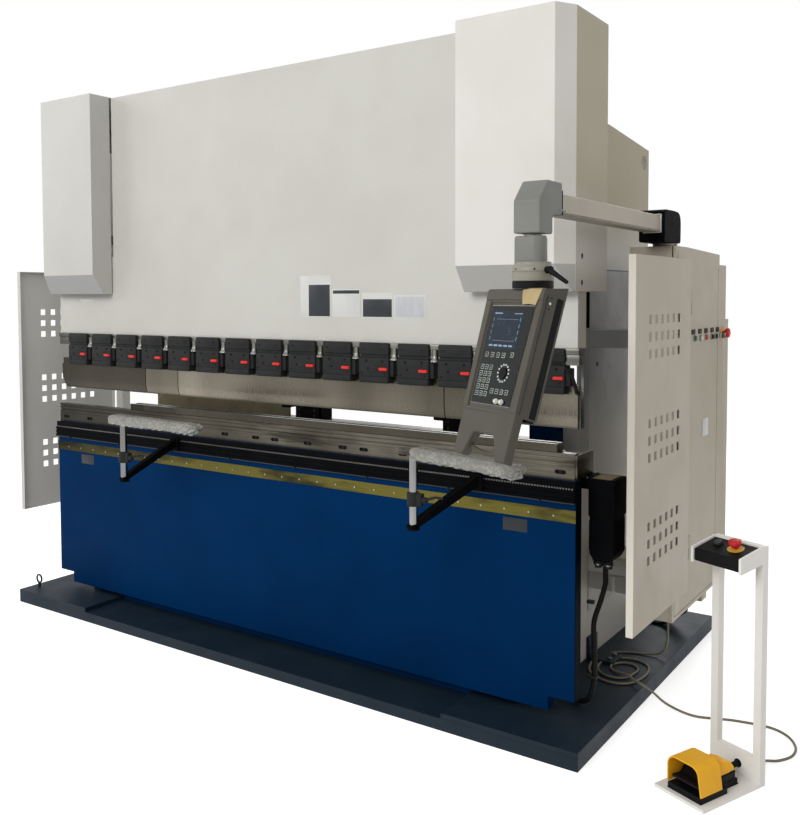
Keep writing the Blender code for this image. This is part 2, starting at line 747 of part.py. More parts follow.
def cabinet():
    """The electrical cabinet with its stepped rear ducts, two arms and fixed hinge knuckles."""
    duct = CABINET_REAR + DUCT_DEPTH
    low_duct = duct + LOW_DUCT_DEPTH
    outline = [
        (CABINET_FRONT, CABINET_BOTTOM), (low_duct, CABINET_BOTTOM),
        (low_duct, CABINET_TOP - LOW_DUCT_DROP), (duct, CABINET_TOP - LOW_DUCT_DROP),
        (duct, CABINET_TOP - DUCT_DROP), (CABINET_REAR, CABINET_TOP - DUCT_DROP),
        (CABINET_REAR, CABINET_TOP - CABINET_FALL), (PIVOT_Y + 2 * BASE_RADIUS, CABINET_TOP),
        (CABINET_FRONT, CABINET_TOP),
    ]
    body = prism("cabinet_body", outline, "X", CABINET_INNER, CABINET_OUTER, WHITE)
    for z in (LOW_ARM_Z, HIGH_ARM_Z):
        arm = box(
            "arm", (FRAME_OUTER + GAP, THROAT_REAR + GAP, z),
            (CABINET_INNER + ARM_SECTION / 2, THROAT_REAR + CABINET_ARM_DEPTH, z + ARM_SECTION), WHITE,
        )
        join(body, arm)
    gland = (CABINET_GLAND_X, CABINET_GLAND_Y)
    ends = (*gland, CABINET_BOTTOM - GLAND_LENGTH), (*gland, CABINET_BOTTOM + GLAND_LENGTH)
    join(body, rod("gland", *ends, GLAND_RADIUS, WHITE, 16))
    join(body, *fixed_knuckles(1))


def knuckle_heights():
    """The top of the fixed half of each of a guard's two hinges."""
    return GUARD_BOTTOM + HINGE_FROM_END, GUARD_TOP - HINGE_FROM_END


def fixed_knuckles(side):
    """The lower half of each hinge, with the leaf that holds it to the cabinet or post."""
    made = []
    leaf_x = CABINET_OUTER - HINGE_RADIUS
    for top in knuckle_heights():
        bottom = top - HINGE_KNUCKLE
        low, high = sorted((side * leaf_x, side * HINGE_X))
        leaf = box(
            "leaf", (low, HINGE_Y, bottom), (high, HINGE_Y + HINGE_RADIUS / 2, top), WHITE
        )
        ends = (side * HINGE_X, HINGE_Y, bottom), (side * HINGE_X, HINGE_Y, top)
        made.append(join(rod("knuckle", *ends, HINGE_RADIUS, WHITE, 16), leaf))
    return made


def left_guard_post():
    """The post that carries the left guard, on two arms from the side frame."""
    post = box(
        "left_guard_post", (-CABINET_OUTER, HINGE_Y - HINGE_RADIUS, GUARD_BOTTOM),
        (POST_SECTION - CABINET_OUTER, HINGE_Y - HINGE_RADIUS + POST_SECTION, GUARD_TOP), WHITE,
    )
    for z in (GUARD_BOTTOM + ARM_SECTION, HIGH_ARM_Z):
        arm = box(
            "arm", (POST_SECTION / 2 - CABINET_OUTER, THROAT_REAR + GAP, z),
            (-FRAME_OUTER - GAP, THROAT_REAR + ARM_SECTION / 2, z + ARM_SECTION), WHITE,
        )
        foot = box(
            "foot", (POST_SECTION / 2 - CABINET_OUTER, HINGE_Y, z),
            (POST_SECTION - CABINET_OUTER, THROAT_REAR + ARM_SECTION / 2, z + ARM_SECTION), WHITE,
        )
        join(post, arm, foot)
    join(post, *fixed_knuckles(-1))


def hole_cutters(side):
    """One box for each perforation, three groups of rows and columns."""
    middle_y = GUARD_FRONT + GUARD_LENGTH / 2 + HOLE_OFFSET
    middle_z = GUARD_BOTTOM + GUARD_HEIGHT / 2 + HOLE_OFFSET
    shape = bmesh.new()
    for group in (-1, 0, 1):
        for row in range(HOLE_ROWS):
            for column in range(HOLE_COLUMNS):
                y = middle_y + (column - (HOLE_COLUMNS - 1) / 2) * HOLE_PITCH_Y
                z = middle_z + group * GROUP_PITCH + (row - (HOLE_ROWS - 1) / 2) * HOLE_PITCH_Z
                size = Matrix.Diagonal((4 * GUARD_SHEET, HOLE_WIDTH, HOLE_HEIGHT, 1.0))
                place = Matrix.Translation((side * GUARD_OUTER, y, z)) @ size
                bmesh.ops.create_cube(shape, size=1.0, matrix=place)
    return from_bmesh("holes", shape, WHITE)


def guards():
    """Perforated swing guards at the bed's ends: folded trays that hinge at their rear edge."""
    t = GUARD_SHEET
    inner = GUARD_OUTER - GUARD_DEPTH
    for side, name in ((-1, "left_guard"), (1, "right_guard")):
        low, high = sorted((side * inner, side * GUARD_OUTER))
        panel = box(name, (low, GUARD_FRONT, GUARD_BOTTOM), (high, GUARD_REAR, GUARD_TOP), WHITE)
        low, high = sorted((side * (inner - t), side * (GUARD_OUTER - t)))
        void = box(
            "void", (low, GUARD_FRONT + t, GUARD_BOTTOM + t),
            (high, GUARD_REAR - t, GUARD_TOP - t), WHITE,
        )
        cut(panel, void, hole_cutters(side))
        for bottom in knuckle_heights():
            bottom += GUIDE_GAP
            top = bottom + HINGE_KNUCKLE
            ends = (side * HINGE_X, HINGE_Y, bottom), (side * HINGE_X, HINGE_Y, top)
            low, high = sorted((side * (HINGE_X - t / 2), side * (GUARD_OUTER - t / 4)))
            leaf = box("leaf", (low, GUARD_REAR - t / 2, bottom), (high, HINGE_Y, top), WHITE)
            join(panel, rod("knuckle", *ends, HINGE_RADIUS, WHITE, 16), leaf)
        set_origin(panel, (side * HINGE_X, HINGE_Y, GUARD_BOTTOM))


def pendant_arm():
    """The arm's fixed base, its black knuckle, the beam and the elbow that holds the swivel."""
    base_z = CABINET_TOP + GAP
    pivot = (SWIVEL_X, PIVOT_Y)
    rod("pendant_base", (*pivot, base_z), (*pivot, base_z + BASE_HEIGHT), BASE_RADIUS, STEEL, 32)
    half = BEAM_SECTION / 2
    top = BEAM_BOTTOM + BEAM_SECTION
    lower = base_z + BASE_HEIGHT + GAP
    upper = top + KNUCKLE_WALL
    wall = half + GAP
    outer = wall + KNUCKLE_CHEEK
    left, right = SWIVEL_X - outer, SWIVEL_X + outer
    front, back = PIVOT_Y - KNUCKLE_LENGTH / 2, PIVOT_Y + KNUCKLE_LENGTH / 2
    knuckle = box("arm_knuckle", (left, front, lower), (right, back, upper), BLACK)
    slot = box(
        "slot", (left - half, front - half, BEAM_BOTTOM - GAP),
        (SWIVEL_X + wall, back - KNUCKLE_WALL, top + GAP), BLACK,
    )
    cut(bevel(knuckle, KNUCKLE_ROUND, 2), slot)
    set_origin(knuckle, (*pivot, lower))
    elbow_back = SWIVEL_Y + ELBOW_DEPTH / 2
    socket = elbow_back + ELBOW_SOCKET
    beam = box(
        "arm_beam", (SWIVEL_X - half, socket + GAP, BEAM_BOTTOM),
        (SWIVEL_X + half, back - KNUCKLE_WALL - GAP, top), ELBOW,
    )
    set_origin(beam, (*pivot, BEAM_BOTTOM))
    elbow_front = SWIVEL_Y - ELBOW_DEPTH / 2
    outline = [
        (elbow_front, ELBOW_BOTTOM), (elbow_back, ELBOW_BOTTOM),
        (elbow_back, BEAM_BOTTOM - ELBOW_CHAMFER / 2), (socket, BEAM_BOTTOM - LEVER_RADIUS),
        (socket, ELBOW_TOP), (elbow_front + ELBOW_CHAMFER / 2, ELBOW_TOP),
        (elbow_front, ELBOW_TOP - ELBOW_CHAMFER),
    ]
    width = ELBOW_WIDTH / 2
    elbow = prism("arm_elbow", outline, "X", SWIVEL_X - width, SWIVEL_X + width, ELBOW)
    bevel(elbow, CONTROL_CORNER / 2)
    set_origin(elbow, (*pivot, ELBOW_BOTTOM))


def control_place():
    """The matrix from the control box's own axes to the world: its origin is the middle of its top edge."""
    ring_bottom = swivel_bottom() - RING_HEIGHT
    turn = Matrix.Rotation(CONTROL_TURN, 4, "Z")
    tilt = Matrix.Rotation(-CONTROL_TILT, 4, "X")
    return Matrix.Translation((SWIVEL_X, SWIVEL_Y, ring_bottom - GAP)) @ turn @ tilt


def swivel_bottom():
    return ELBOW_BOTTOM - GUIDE_GAP - SWIVEL_BLOCK - COLLAR_HEIGHT


def pendant_head():
    """The swivel, its collar and lever, and the tilted control box with its grip."""
    axis = (SWIVEL_X, SWIVEL_Y)
    top = ELBOW_BOTTOM - GUIDE_GAP
    width, depth = ELBOW_WIDTH / 2, ELBOW_DEPTH / 2
    block = box(
        "swivel_collar", (axis[0] - width, axis[1] - depth, top - SWIVEL_BLOCK),
        (axis[0] + width, axis[1] + depth, top), ELBOW,
    )
    neck = top - SWIVEL_BLOCK
    ring_low = swivel_bottom() - RING_HEIGHT
    ring = rod("ring", (*axis, ring_low), (*axis, neck + LEVER_RADIUS), COLLAR_RADIUS, ELBOW, 40)
    join(block, ring)
    set_origin(block, (*axis, neck))
    heading = Vector((math.cos(CONTROL_TURN), math.sin(CONTROL_TURN), 0.0))
    start = Vector((*axis, neck - COLLAR_HEIGHT / 2)) + heading * (COLLAR_RADIUS + GAP)
    end = start + heading * LEVER_REACH - Vector((0.0, 0.0, LEVER_DROP))
    root = start + heading * LEVER_HUB
    lever = rod("clamp_lever", root, end, LEVER_RADIUS, BLACK, 16, LEVER_TIP)
    join(lever, rod("hub", start, root + heading * LEVER_RADIUS, LEVER_HUB, BLACK, 16))
    control_box()


def control_box():
    """The tilted control box, cut level under the swivel, with a grip below it."""
    depth = CONTROL_DEPTH / 2
    lip = CONTROL_DEPTH * math.tan(CONTROL_TILT)

    def side(z):
        return CONTROL_WIDTH / 2 + CONTROL_TAPER * z

    low = -CONTROL_HEIGHT - GRIP_HEIGHT
    overlap = -CONTROL_HEIGHT + CONTROL_CORNER
    wide, waist = side(lip), side(-CONTROL_HEIGHT)
    shell = [(-wide, lip), (wide, lip), (waist, -CONTROL_HEIGHT), (-waist, -CONTROL_HEIGHT)]
    body = prism("control_box", shell, "Y", -depth, depth, TAUPE)
    neck = side(overlap) - CONTROL_CORNER
    half = side(low)
    foot = half - GRIP_LEG
    outline = [
        (-neck, overlap), (neck, overlap), (half, low), (foot, low),
        (foot - GRIP_SPLAY, low + GRIP_WINDOW), (GRIP_SPLAY - foot, low + GRIP_WINDOW),
        (-foot, low), (-half, low),
    ]
    grip = prism("grip", outline, "Y", -depth, GRIP_DEPTH - depth, TAUPE)
    bar_z = low + GRIP_TUBE * 3
    bar_y = GRIP_DEPTH / 2 - depth
    ends = (-foot - GRIP_TUBE, bar_y, bar_z), (foot + GRIP_TUBE, bar_y, bar_z)
    join(body, grip, rod("bar", *ends, GRIP_TUBE, TAUPE, 16))
    body.data.transform(control_place() @ Matrix.Translation((CONTROL_OFFSET, 0.0, 0.0)))
    level = swivel_bottom() - RING_HEIGHT - GAP
    reach = CONTROL_WIDTH
    above = box(
        "above", (SWIVEL_X - reach, SWIVEL_Y - reach, level),
        (SWIVEL_X + reach, SWIVEL_Y + reach, level + reach), TAUPE,
    )
    cut(body, above)
    set_origin(body, (SWIVEL_X, SWIVEL_Y, level))


def crowning_drive():
    """The upright gear motor beside the bed, under a belt housing that hangs from the table's end."""
    half_x, half_y = MOTOR_WIDTH / 2, MOTOR_DEPTH / 2
    belt_top = TABLE_BOTTOM - GAP
    motor_top = belt_top - BELT_THICK
    housing = box(
        "crowning_drive", (BED_HALF - BELT_REACH, MOTOR_Y - half_y, motor_top),
        (MOTOR_X + half_x, MOTOR_Y + half_y, belt_top), BLACK,
    )
    motor = box(
        "motor", (MOTOR_X - half_x + GAP, MOTOR_Y - half_y + GAP, MOTOR_BOTTOM),
        (MOTOR_X + half_x - GAP, MOTOR_Y + half_y - GAP, motor_top + GAP), BLACK,
    )
    ends = (MOTOR_X, MOTOR_Y, MOTOR_BOTTOM - MOTOR_FOOT), (MOTOR_X, MOTOR_Y, MOTOR_BOTTOM + MOTOR_FOOT)
    join(housing, motor, rod("foot", *ends, MOTOR_FOOT_RADIUS, BLACK, 20, half_x))


def motor_cable():
    """The motor's lead, down beside the bed to its gland in the side frame."""
    r = DRIVE_CABLE
    foot = MOTOR_BOTTOM - MOTOR_FOOT - GAP
    level = PAD_TOP + r + GAP
    points = [
        (MOTOR_X, MOTOR_Y, foot - GAP), (MOTOR_X, MOTOR_Y, foot - 0.040),
        (MOTOR_X - 0.001, MOTOR_Y - 0.001, foot - 0.075), (1.645, -0.242, 0.530),
        (1.625, -0.262, 0.440), (1.628, -0.262, 0.330),
        (1.625, -0.255, 0.220), (1.600, -0.240, 0.130), (1.560, -0.220, level + 0.012),
        (1.510, -0.185, level + 0.002), (1.470, -0.170, level + 0.001),
        (1.430, -0.166, level), (FRAME_OUTER + 2 * GAP, -0.166, level),
    ]
    tube("motor_cable", points, r, BLACK, 3)


def pushed_stop(name, face, outward):
    """A mushroom push button whose stem enters a hole; returns it with the cutter for the hole."""
    out = Vector(outward).normalized()
    start = Vector(face)
    lift = STOP_TRAVEL + RUNNING_GAP
    stem = STOP_RADIUS * 0.4
    head = start + out * lift, start + out * (lift + STOP_HEIGHT)
    button = rod(name, *head, STOP_RADIUS, RED, 32, STOP_RADIUS * 0.85)
    join(button, rod("stem", start - out * STOP_HEIGHT, start + out * (lift + stem), stem, RED, 16))
    set_origin(button, start)
    deep = STOP_HEIGHT + STOP_TRAVEL * 2
    return rod("hole", start - out * deep, start + out * deep, stem + GUIDE_GAP, RED, 16)


def cabinet_controls():
    """The row of push buttons on the cabinet's side, on a thin backing strip, and the stop button."""
    face = CABINET_OUTER + GAP
    half = BUTTON_PITCH / 2
    last = BUTTON_FIRST_Y + (BUTTON_COUNT - 1) * BUTTON_PITCH
    strip = box(
        "cabinet_buttons", (face, BUTTON_FIRST_Y - half, BUTTON_Z - half),
        (face + STRIP_BACK, last + half, BUTTON_Z + half), BLACK,
    )
    for k in range(BUTTON_COUNT):
        y = BUTTON_FIRST_Y + k * BUTTON_PITCH
        ends = (face + STRIP_BACK / 2, y, BUTTON_Z), (face + BUTTON_REACH, y, BUTTON_Z)
        join(strip, rod("button", *ends, BUTTON_RADIUS, BLACK, 16))
    stop_y = last + BUTTON_PITCH
    hole = pushed_stop("cabinet_stop_button", (CABINET_OUTER, stop_y, BUTTON_Z), (1, 0, 0))
    cut(bpy.data.objects["cabinet_body"], hole)


def front_support(name, x, turn, skew, wrap_start):
    """A front support: a slider on the rail with a splayed sloping bar, a post and a swivelling arm."""
    front = BED_FRONT - GAP - RAIL_DEPTH - GUIDE_GAP
    thick = SUPPORT_BLOCK / 2
    top = RAIL_BOTTOM + RAIL_HEIGHT
    slider = box(
        f"{name}_support_bracket", (x + skew - thick, front - thick, RAIL_BOTTOM),
        (x + skew + thick, front, top), BLACK,
    )
    foot_top = SUPPORT_POST_BOTTOM - GAP
    foot_low = foot_top - SUPPORT_BAR / 2
    beside = SUPPORT_Y + SUPPORT_POST_RADIUS + RUNNING_GAP
    outline = [
        (front - thick / 2, top - GAP), (front - thick / 2, top - SUPPORT_BAR_HEIGHT),
        (beside, foot_low), (SUPPORT_Y, foot_low), (SUPPORT_Y, foot_top), (beside, foot_top),
        (beside, foot_top + SUPPORT_BAR_HEIGHT),
    ]
    bar = prism("bar", outline, "X", x - SUPPORT_BAR / 2, x + SUPPORT_BAR / 2, BLACK)
    lean = skew / (front - SUPPORT_Y)
    splay = Matrix.Identity(4)
    splay[0][1] = lean
    splay[0][3] = -lean * SUPPORT_Y
    bar.data.transform(splay)
    foot = rod("foot", (x, SUPPORT_Y, foot_low), (x, SUPPORT_Y, foot_top), SUPPORT_FOOT_RADIUS, BLACK)
    join(slider, bar, foot)
    set_origin(slider, (x, front, RAIL_BOTTOM))
    post = rod(
        f"{name}_support_post", (x, SUPPORT_Y, SUPPORT_POST_BOTTOM), (x, SUPPORT_Y, SUPPORT_POST_TOP),
        SUPPORT_POST_RADIUS, CHROME, 32,
    )
    low = SUPPORT_COLLAR_Z - SUPPORT_COLLAR_HEIGHT / 2
    high = low + SUPPORT_COLLAR_HEIGHT
    collar = rod("collar", (x, SUPPORT_Y, low), (x, SUPPORT_Y, high), SUPPORT_COLLAR_RADIUS, CHROME, 32)
    ends = (x, SUPPORT_Y, SUPPORT_COLLAR_Z), (x + SUPPORT_LEVER_REACH, SUPPORT_Y, SUPPORT_COLLAR_Z)
    lever = rod("lever", *ends, SUPPORT_LEVER_RADIUS, CHROME, 12)
    join(post, collar, lever)
    z = SUPPORT_POST_TOP + GAP
    width = SUPPORT_ARM_WIDTH / 2
    place = Matrix.Translation((x, SUPPORT_Y, 0.0)) @ Matrix.Rotation(turn, 4, "Z")
    arm = box(
        f"{name}_support_arm", (-SUPPORT_ARM_BACK, -width, z),
        (SUPPORT_ARM_LENGTH, width, z + SUPPORT_ARM_THICK), STEEL,
    )
    arm.data.transform(place)
    set_origin(arm, (x, SUPPORT_Y, z))
    t = WRAP_THICK
    wrap = box(
        f"{name}_arm_wrap", (wrap_start, -width - t, z - t),
        (SUPPORT_ARM_LENGTH + t, width + t, z + SUPPORT_ARM_THICK + t), WRAP,
    )
    void = box(
        "void", (wrap_start - t, -width - GAP, z - GAP),
        (SUPPORT_ARM_LENGTH + GAP, width + GAP, z + SUPPORT_ARM_THICK + GAP), WRAP,
    )
    cut(wrap, void)
    if wrap_start < 0.0:
        ends = (0.0, 0.0, z - 2 * t), (0.0, 0.0, z + SUPPORT_ARM_THICK / 2)
        cut(wrap, rod("hole", *ends, SUPPORT_POST_RADIUS + GUIDE_GAP, WRAP, 32))
    wrap.data.transform(place)
    set_origin(wrap, (x, SUPPORT_Y, z))


def backgauge():
    """Two rails behind the bed, the beam that slides on them, its end housings and two fingers."""
    low = GAUGE_RAIL_TOP - GAUGE_RAIL_HEIGHT
    front = BEAM_BACK + GAP
    width = GAUGE_RAIL_WIDTH / 2
    back = front + GAUGE_RAIL_LENGTH
    frame = box(
        "backgauge_rails", (-GAUGE_RAIL_X - width, back - GAUGE_RAIL_WIDTH, low),
        (GAUGE_RAIL_X + width, back, GAUGE_RAIL_TOP), GREY,
    )
    for x in (-GAUGE_RAIL_X, GAUGE_RAIL_X):
        ends = (x - width, front, low), (x + width, back - width, GAUGE_RAIL_TOP)
        join(frame, box("rail", *ends, GREY))
    beam_top = GAUGE_BEAM_BOTTOM + GAUGE_BEAM_HEIGHT
    beam_back = GAUGE_BEAM_Y + GAUGE_BEAM_DEPTH
    beam = box(
        "backgauge_beam", (-GAUGE_BEAM_HALF, GAUGE_BEAM_Y, GAUGE_BEAM_BOTTOM),
        (GAUGE_BEAM_HALF, beam_back, beam_top), STEEL,
    )
    for x in (-GAUGE_RAIL_X, GAUGE_RAIL_X):
        shoe = box(
            "shoe", (x - width, GAUGE_BEAM_Y - width, GAUGE_RAIL_TOP + GUIDE_GAP),
            (x + width, beam_back + width, GAUGE_BEAM_BOTTOM + width / 2), STEEL,
        )
        join(beam, shoe)
    for side, name in ((-1, "backgauge_left_housing"), (1, "backgauge_right_housing")):
        start, end = sorted((
            side * (GAUGE_BEAM_HALF + GAP), side * (GAUGE_BEAM_HALF + GAP + GAUGE_HOUSING_WIDTH)
        ))
        box(
            name, (start, GAUGE_BEAM_Y - width / 2, GAUGE_BEAM_BOTTOM),
            (end, beam_back + width / 2, GAUGE_BEAM_BOTTOM + GAUGE_HOUSING_HEIGHT), BLUE,
        )
    half = FINGER_WIDTH / 2
    tip_low = DIE_BOTTOM + DIE_HEIGHT + RUNNING_GAP
    block_top = tip_low + FINGER_TIP
    for x, side in ((FINGER_LEFT_X, "left"), (FINGER_RIGHT_X, "right")):
        block = box(
            f"backgauge_{side}_finger", (x - half, GAUGE_BEAM_Y - width / 2, beam_top + GAP),
            (x + half, beam_back, block_top), BLACK,
        )
        tip = box(
            "tip", (x - half / 3, GAUGE_BEAM_Y - FINGER_REACH, tip_low),
            (x + half / 3, GAUGE_BEAM_Y, block_top), BLACK,
        )
        join(block, tip)


def stand_place():
    return Matrix.Translation((STAND_X, STAND_Y, 0.0)) @ Matrix.Rotation(STAND_TURN, 4, "Z")


def stand():
    """The folded stand: a base plate, two posts over a sill, and two cheeks that hold the control box."""
    half, deep = STAND_WIDTH / 2, STAND_DEPTH / 2
    frame = box("stand_frame", (-half, -deep, 0.0), (half, deep, STAND_PLATE), WHITE)
    back = box("back", (-half, deep - STAND_SHEET, STAND_PLATE / 2), (half, deep, STAND_HEIGHT), WHITE)
    inner = half - STAND_POST
    box_low = STAND_HEIGHT - BOX_HEIGHT
    window = box(
        "window", (-inner, deep - 2 * STAND_SHEET, STAND_SILL),
        (inner, deep + STAND_SHEET, box_low + BOX_RISE), WHITE,
    )
    join(frame, cut(back, window))
    rear = deep - STAND_SHEET
    front = rear - BOX_DEPTH
    cheek = [
        (rear + GAP * 2, STAND_HEIGHT), (front, STAND_HEIGHT - BOX_SLOPE), (front, box_low),
        (rear + GAP * 2, box_low + BOX_RISE),
    ]
    for side in (-1, 1):
        low, high = sorted((side * (half - BOX_BRIM), side * half))
        join(frame, prism("cheek", cheek, "X", low, high, WHITE))
    gland_x = STAND_POST - CABLE_RADIUS * 3
    hole = rod(
        "hole", (gland_x, rear - STAND_SHEET, GLAND_HEIGHT),
        (gland_x, deep + STAND_SHEET, GLAND_HEIGHT), GLAND_RADIUS + GUIDE_GAP, WHITE, 20,
    )
    cut(frame, hole)
    frame.data.transform(stand_place())
    drop = BOX_BRIM / 2
    profile = [
        (rear - GAP, STAND_HEIGHT - drop), (front + drop, STAND_HEIGHT - BOX_SLOPE - drop),
        (front + drop, box_low + drop), (rear - GAP, box_low + BOX_RISE + drop),
    ]
    inside = half - BOX_BRIM - GAP
    face = prism("stand_box", profile, "X", -inside, inside, BLACK)
    face.data.transform(stand_place())
    run = rear - GAP - front - drop
    slope = math.atan2(BOX_SLOPE, run)
    fall = BOX_SLOPE * (STOP_BACK - GAP) / run
    spot = Vector((STOP_X, rear - STOP_BACK, STAND_HEIGHT - drop - fall))
    out = stand_place().to_3x3() @ Vector((0.0, -math.sin(slope), math.cos(slope)))
    cut(face, pushed_stop("stand_stop_button", stand_place() @ spot, out))


def pedal():
    """The foot pedal: a base, an arched hood with a rear housing, a treadle and the cable's gland."""
    place = stand_place()
    arch = PEDAL_WIDTH / 2
    half = arch - HOOD_SHEET / 2
    narrow = PEDAL_REAR_WIDTH / 2
    floor = STAND_PLATE + GAP
    top = floor + PEDAL_HEIGHT
    back = PEDAL_FRONT + PEDAL_DEPTH
    step = PEDAL_FRONT + PEDAL_STEP
    outline = [
        (PEDAL_SIDE - half, PEDAL_FRONT), (PEDAL_SIDE + half, PEDAL_FRONT), (PEDAL_SIDE + half, step),
        (PEDAL_SIDE + narrow, step), (PEDAL_SIDE + narrow, back), (PEDAL_SIDE - narrow, back),
        (PEDAL_SIDE - narrow, step), (PEDAL_SIDE - half, step),
    ]
    base = prism("pedal_base", outline, "Z", floor, top, BLACK)
    base.data.transform(place)
    hood_top = top + HOOD_HEIGHT

    def arch_outline(width, height, bottom, corner=half / 2):
        turns = np.linspace(0.0, math.pi / 2, 7)
        rise = height - corner
        start = PEDAL_SIDE + width - corner
        right = [(start + corner * math.cos(a), rise + corner * math.sin(a)) for a in turns]
        left = [(2 * PEDAL_SIDE - x, z) for x, z in reversed(right)]
        return [(PEDAL_SIDE + width, bottom), *right, *left, (PEDAL_SIDE - width, bottom)]

    hood_back = PEDAL_FRONT + HOOD_DEPTH
    outer = arch_outline(arch, hood_top, top + GAP)
    hood = prism("pedal_hood", outer, "Y", PEDAL_FRONT, hood_back, YELLOW)
    inner = arch_outline(arch - HOOD_SHEET, hood_top - HOOD_SHEET, top - HOOD_SHEET)
    cut(hood, prism("void", inner, "Y", PEDAL_FRONT - HOOD_SHEET, hood_back - HOOD_SHEET, YELLOW))
    rear = arch_outline(narrow - HOOD_SHEET / 2, top + HOOD_REAR_HEIGHT, top + GAP)
    rear_end = back - PEDAL_LIP
    join(hood, prism("rear", rear, "Y", hood_back - HOOD_SHEET / 2, rear_end, YELLOW))
    hood.data.transform(place)
    back_gap = RUNNING_GAP + TREADLE_THICK / 2
    hinge = Vector((PEDAL_SIDE, hood_back - HOOD_SHEET - back_gap, top + RUNNING_GAP + TREADLE_THICK / 2))
    reach = HOOD_DEPTH - HOOD_SHEET - back_gap - RUNNING_GAP
    wide = arch - HOOD_SHEET - RUNNING_GAP
    treadle = box(
        "pedal_treadle", (-wide, -reach, 0.0), (wide, TREADLE_THICK / 2, TREADLE_THICK), BLACK
    )
    pin = arch - HOOD_SHEET - GAP
    middle = TREADLE_THICK / 2
    join(treadle, rod("pin", (-pin, 0.0, middle), (pin, 0.0, middle), TREADLE_PIN, BLACK, 12))
    treadle.data.transform(Matrix.Translation((0.0, 0.0, -middle)))
    treadle.data.transform(Matrix.Rotation(-TREADLE_RISE, 4, "X"))
    treadle.data.transform(place @ Matrix.Translation(hinge))
    set_origin(treadle, place @ hinge)
    gland_x = STAND_POST - CABLE_RADIUS * 3
    ends = Vector((gland_x, rear_end + GAP, GLAND_HEIGHT)), Vector((gland_x, gland_end(), GLAND_HEIGHT))
    rod("pedal_gland", place @ ends[0], place @ ends[1], GLAND_RADIUS, BLACK, 20)


def gland_end():
    return STAND_DEPTH / 2 + GLAND_RADIUS


def pedal_cable():
    """The pedal's cable: over the floor, round its turns on the platform, up into the cabinet."""
    gland_x = STAND_POST - CABLE_RADIUS * 3
    start = stand_place() @ Vector((gland_x, gland_end() + GAP, GLAND_HEIGHT))
    ahead = stand_place().to_3x3() @ Vector((0.0, 1.0, 0.0))
    floor = CABLE_RADIUS + GAP
    deck = PAD_TOP + CABLE_RADIUS + GAP
    over = deck + CABLE_RADIUS * 2.7
    drop = CABINET_BOTTOM - GLAND_LENGTH - GAP
    points = [
        tuple(start), tuple(start + ahead * 0.022), tuple(start + ahead * 0.05 - Vector((0, 0, 0.016))),
        (2.257, -0.138, floor + 0.007), (2.290, -0.100, floor + 0.001), (2.322, -0.035, floor),
        (2.318, 0.045, floor), (2.272, 0.122, floor), (2.195, 0.158, floor), (2.070, 0.142, floor),
        (1.990, 0.112, floor), (1.925, 0.092, floor), (1.860, 0.100, floor + 0.002),
        (1.790, 0.112, floor + 0.016), (1.742, 0.100, deck - 0.018), (1.702, 0.078, over),
        (1.662, 0.100, over), (1.620, 0.138, over), (1.575, 0.166, deck + 0.004),
        (1.526, 0.190, deck + 0.001), (1.508, 0.238, deck), (1.536, 0.284, deck), (1.588, 0.292, deck),
        (1.624, 0.250, deck), (1.622, 0.185, deck), (1.604, 0.132, deck), (1.558, 0.110, deck),
        (1.500, 0.128, deck), (1.462, 0.190, deck), (1.462, 0.270, deck), (1.506, 0.332, deck),
        (1.576, 0.354, deck), (1.640, 0.322, deck), (1.670, 0.250, deck), (1.668, 0.165, deck),
        (1.648, 0.098, deck), (1.604, 0.062, deck), (1.540, 0.060, deck), (1.468, 0.100, deck),
        (1.427, 0.180, deck), (1.420, 0.280, deck), (1.452, 0.368, deck), (1.520, 0.424, deck),
        (1.598, 0.446, deck + 0.002), (1.656, 0.452, deck + 0.016), (1.690, 0.440, deck + 0.066),
        (CABINET_GLAND_X, CABINET_GLAND_Y, deck + 0.150), (CABINET_GLAND_X, CABINET_GLAND_Y, drop),
    ]
    tube("pedal_cable", points, CABLE_RADIUS, CABLE)


def main():
    base_platform()
    bed()
    support_rail()
    crowning_table()
    bottom_die()
    side_frames()
    rear_frame()
    ram()
    cylinders()
    clamps()
    punch()
    covers()
    cabinet()
    left_guard_post()
    guards()
    pendant_arm()
    pendant_head()
    crowning_drive()
    motor_cable()
    cabinet_controls()
    front_support("left", SUPPORT_LEFT_X, SUPPORT_LEFT_TURN, SUPPORT_LEFT_SKEW, WRAP_LEFT_START)
    front_support("right", SUPPORT_RIGHT_X, SUPPORT_RIGHT_TURN, SUPPORT_RIGHT_SKEW, WRAP_RIGHT_START)
    backgauge()
    stand()
    pedal()
    pedal_cable()


main()
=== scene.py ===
"""The looks of a 3.2 m press brake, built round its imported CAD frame.

Metres, +Z up. X runs along the bed, +Y to the rear, and z = 0 is the floor.
A shape is a pair: an array of points and a list of arrays of faces, all quads or all polygons of one size.
"""

import json
import math

import bmesh
import bpy
import numpy as np
from mathutils import Matrix, Vector


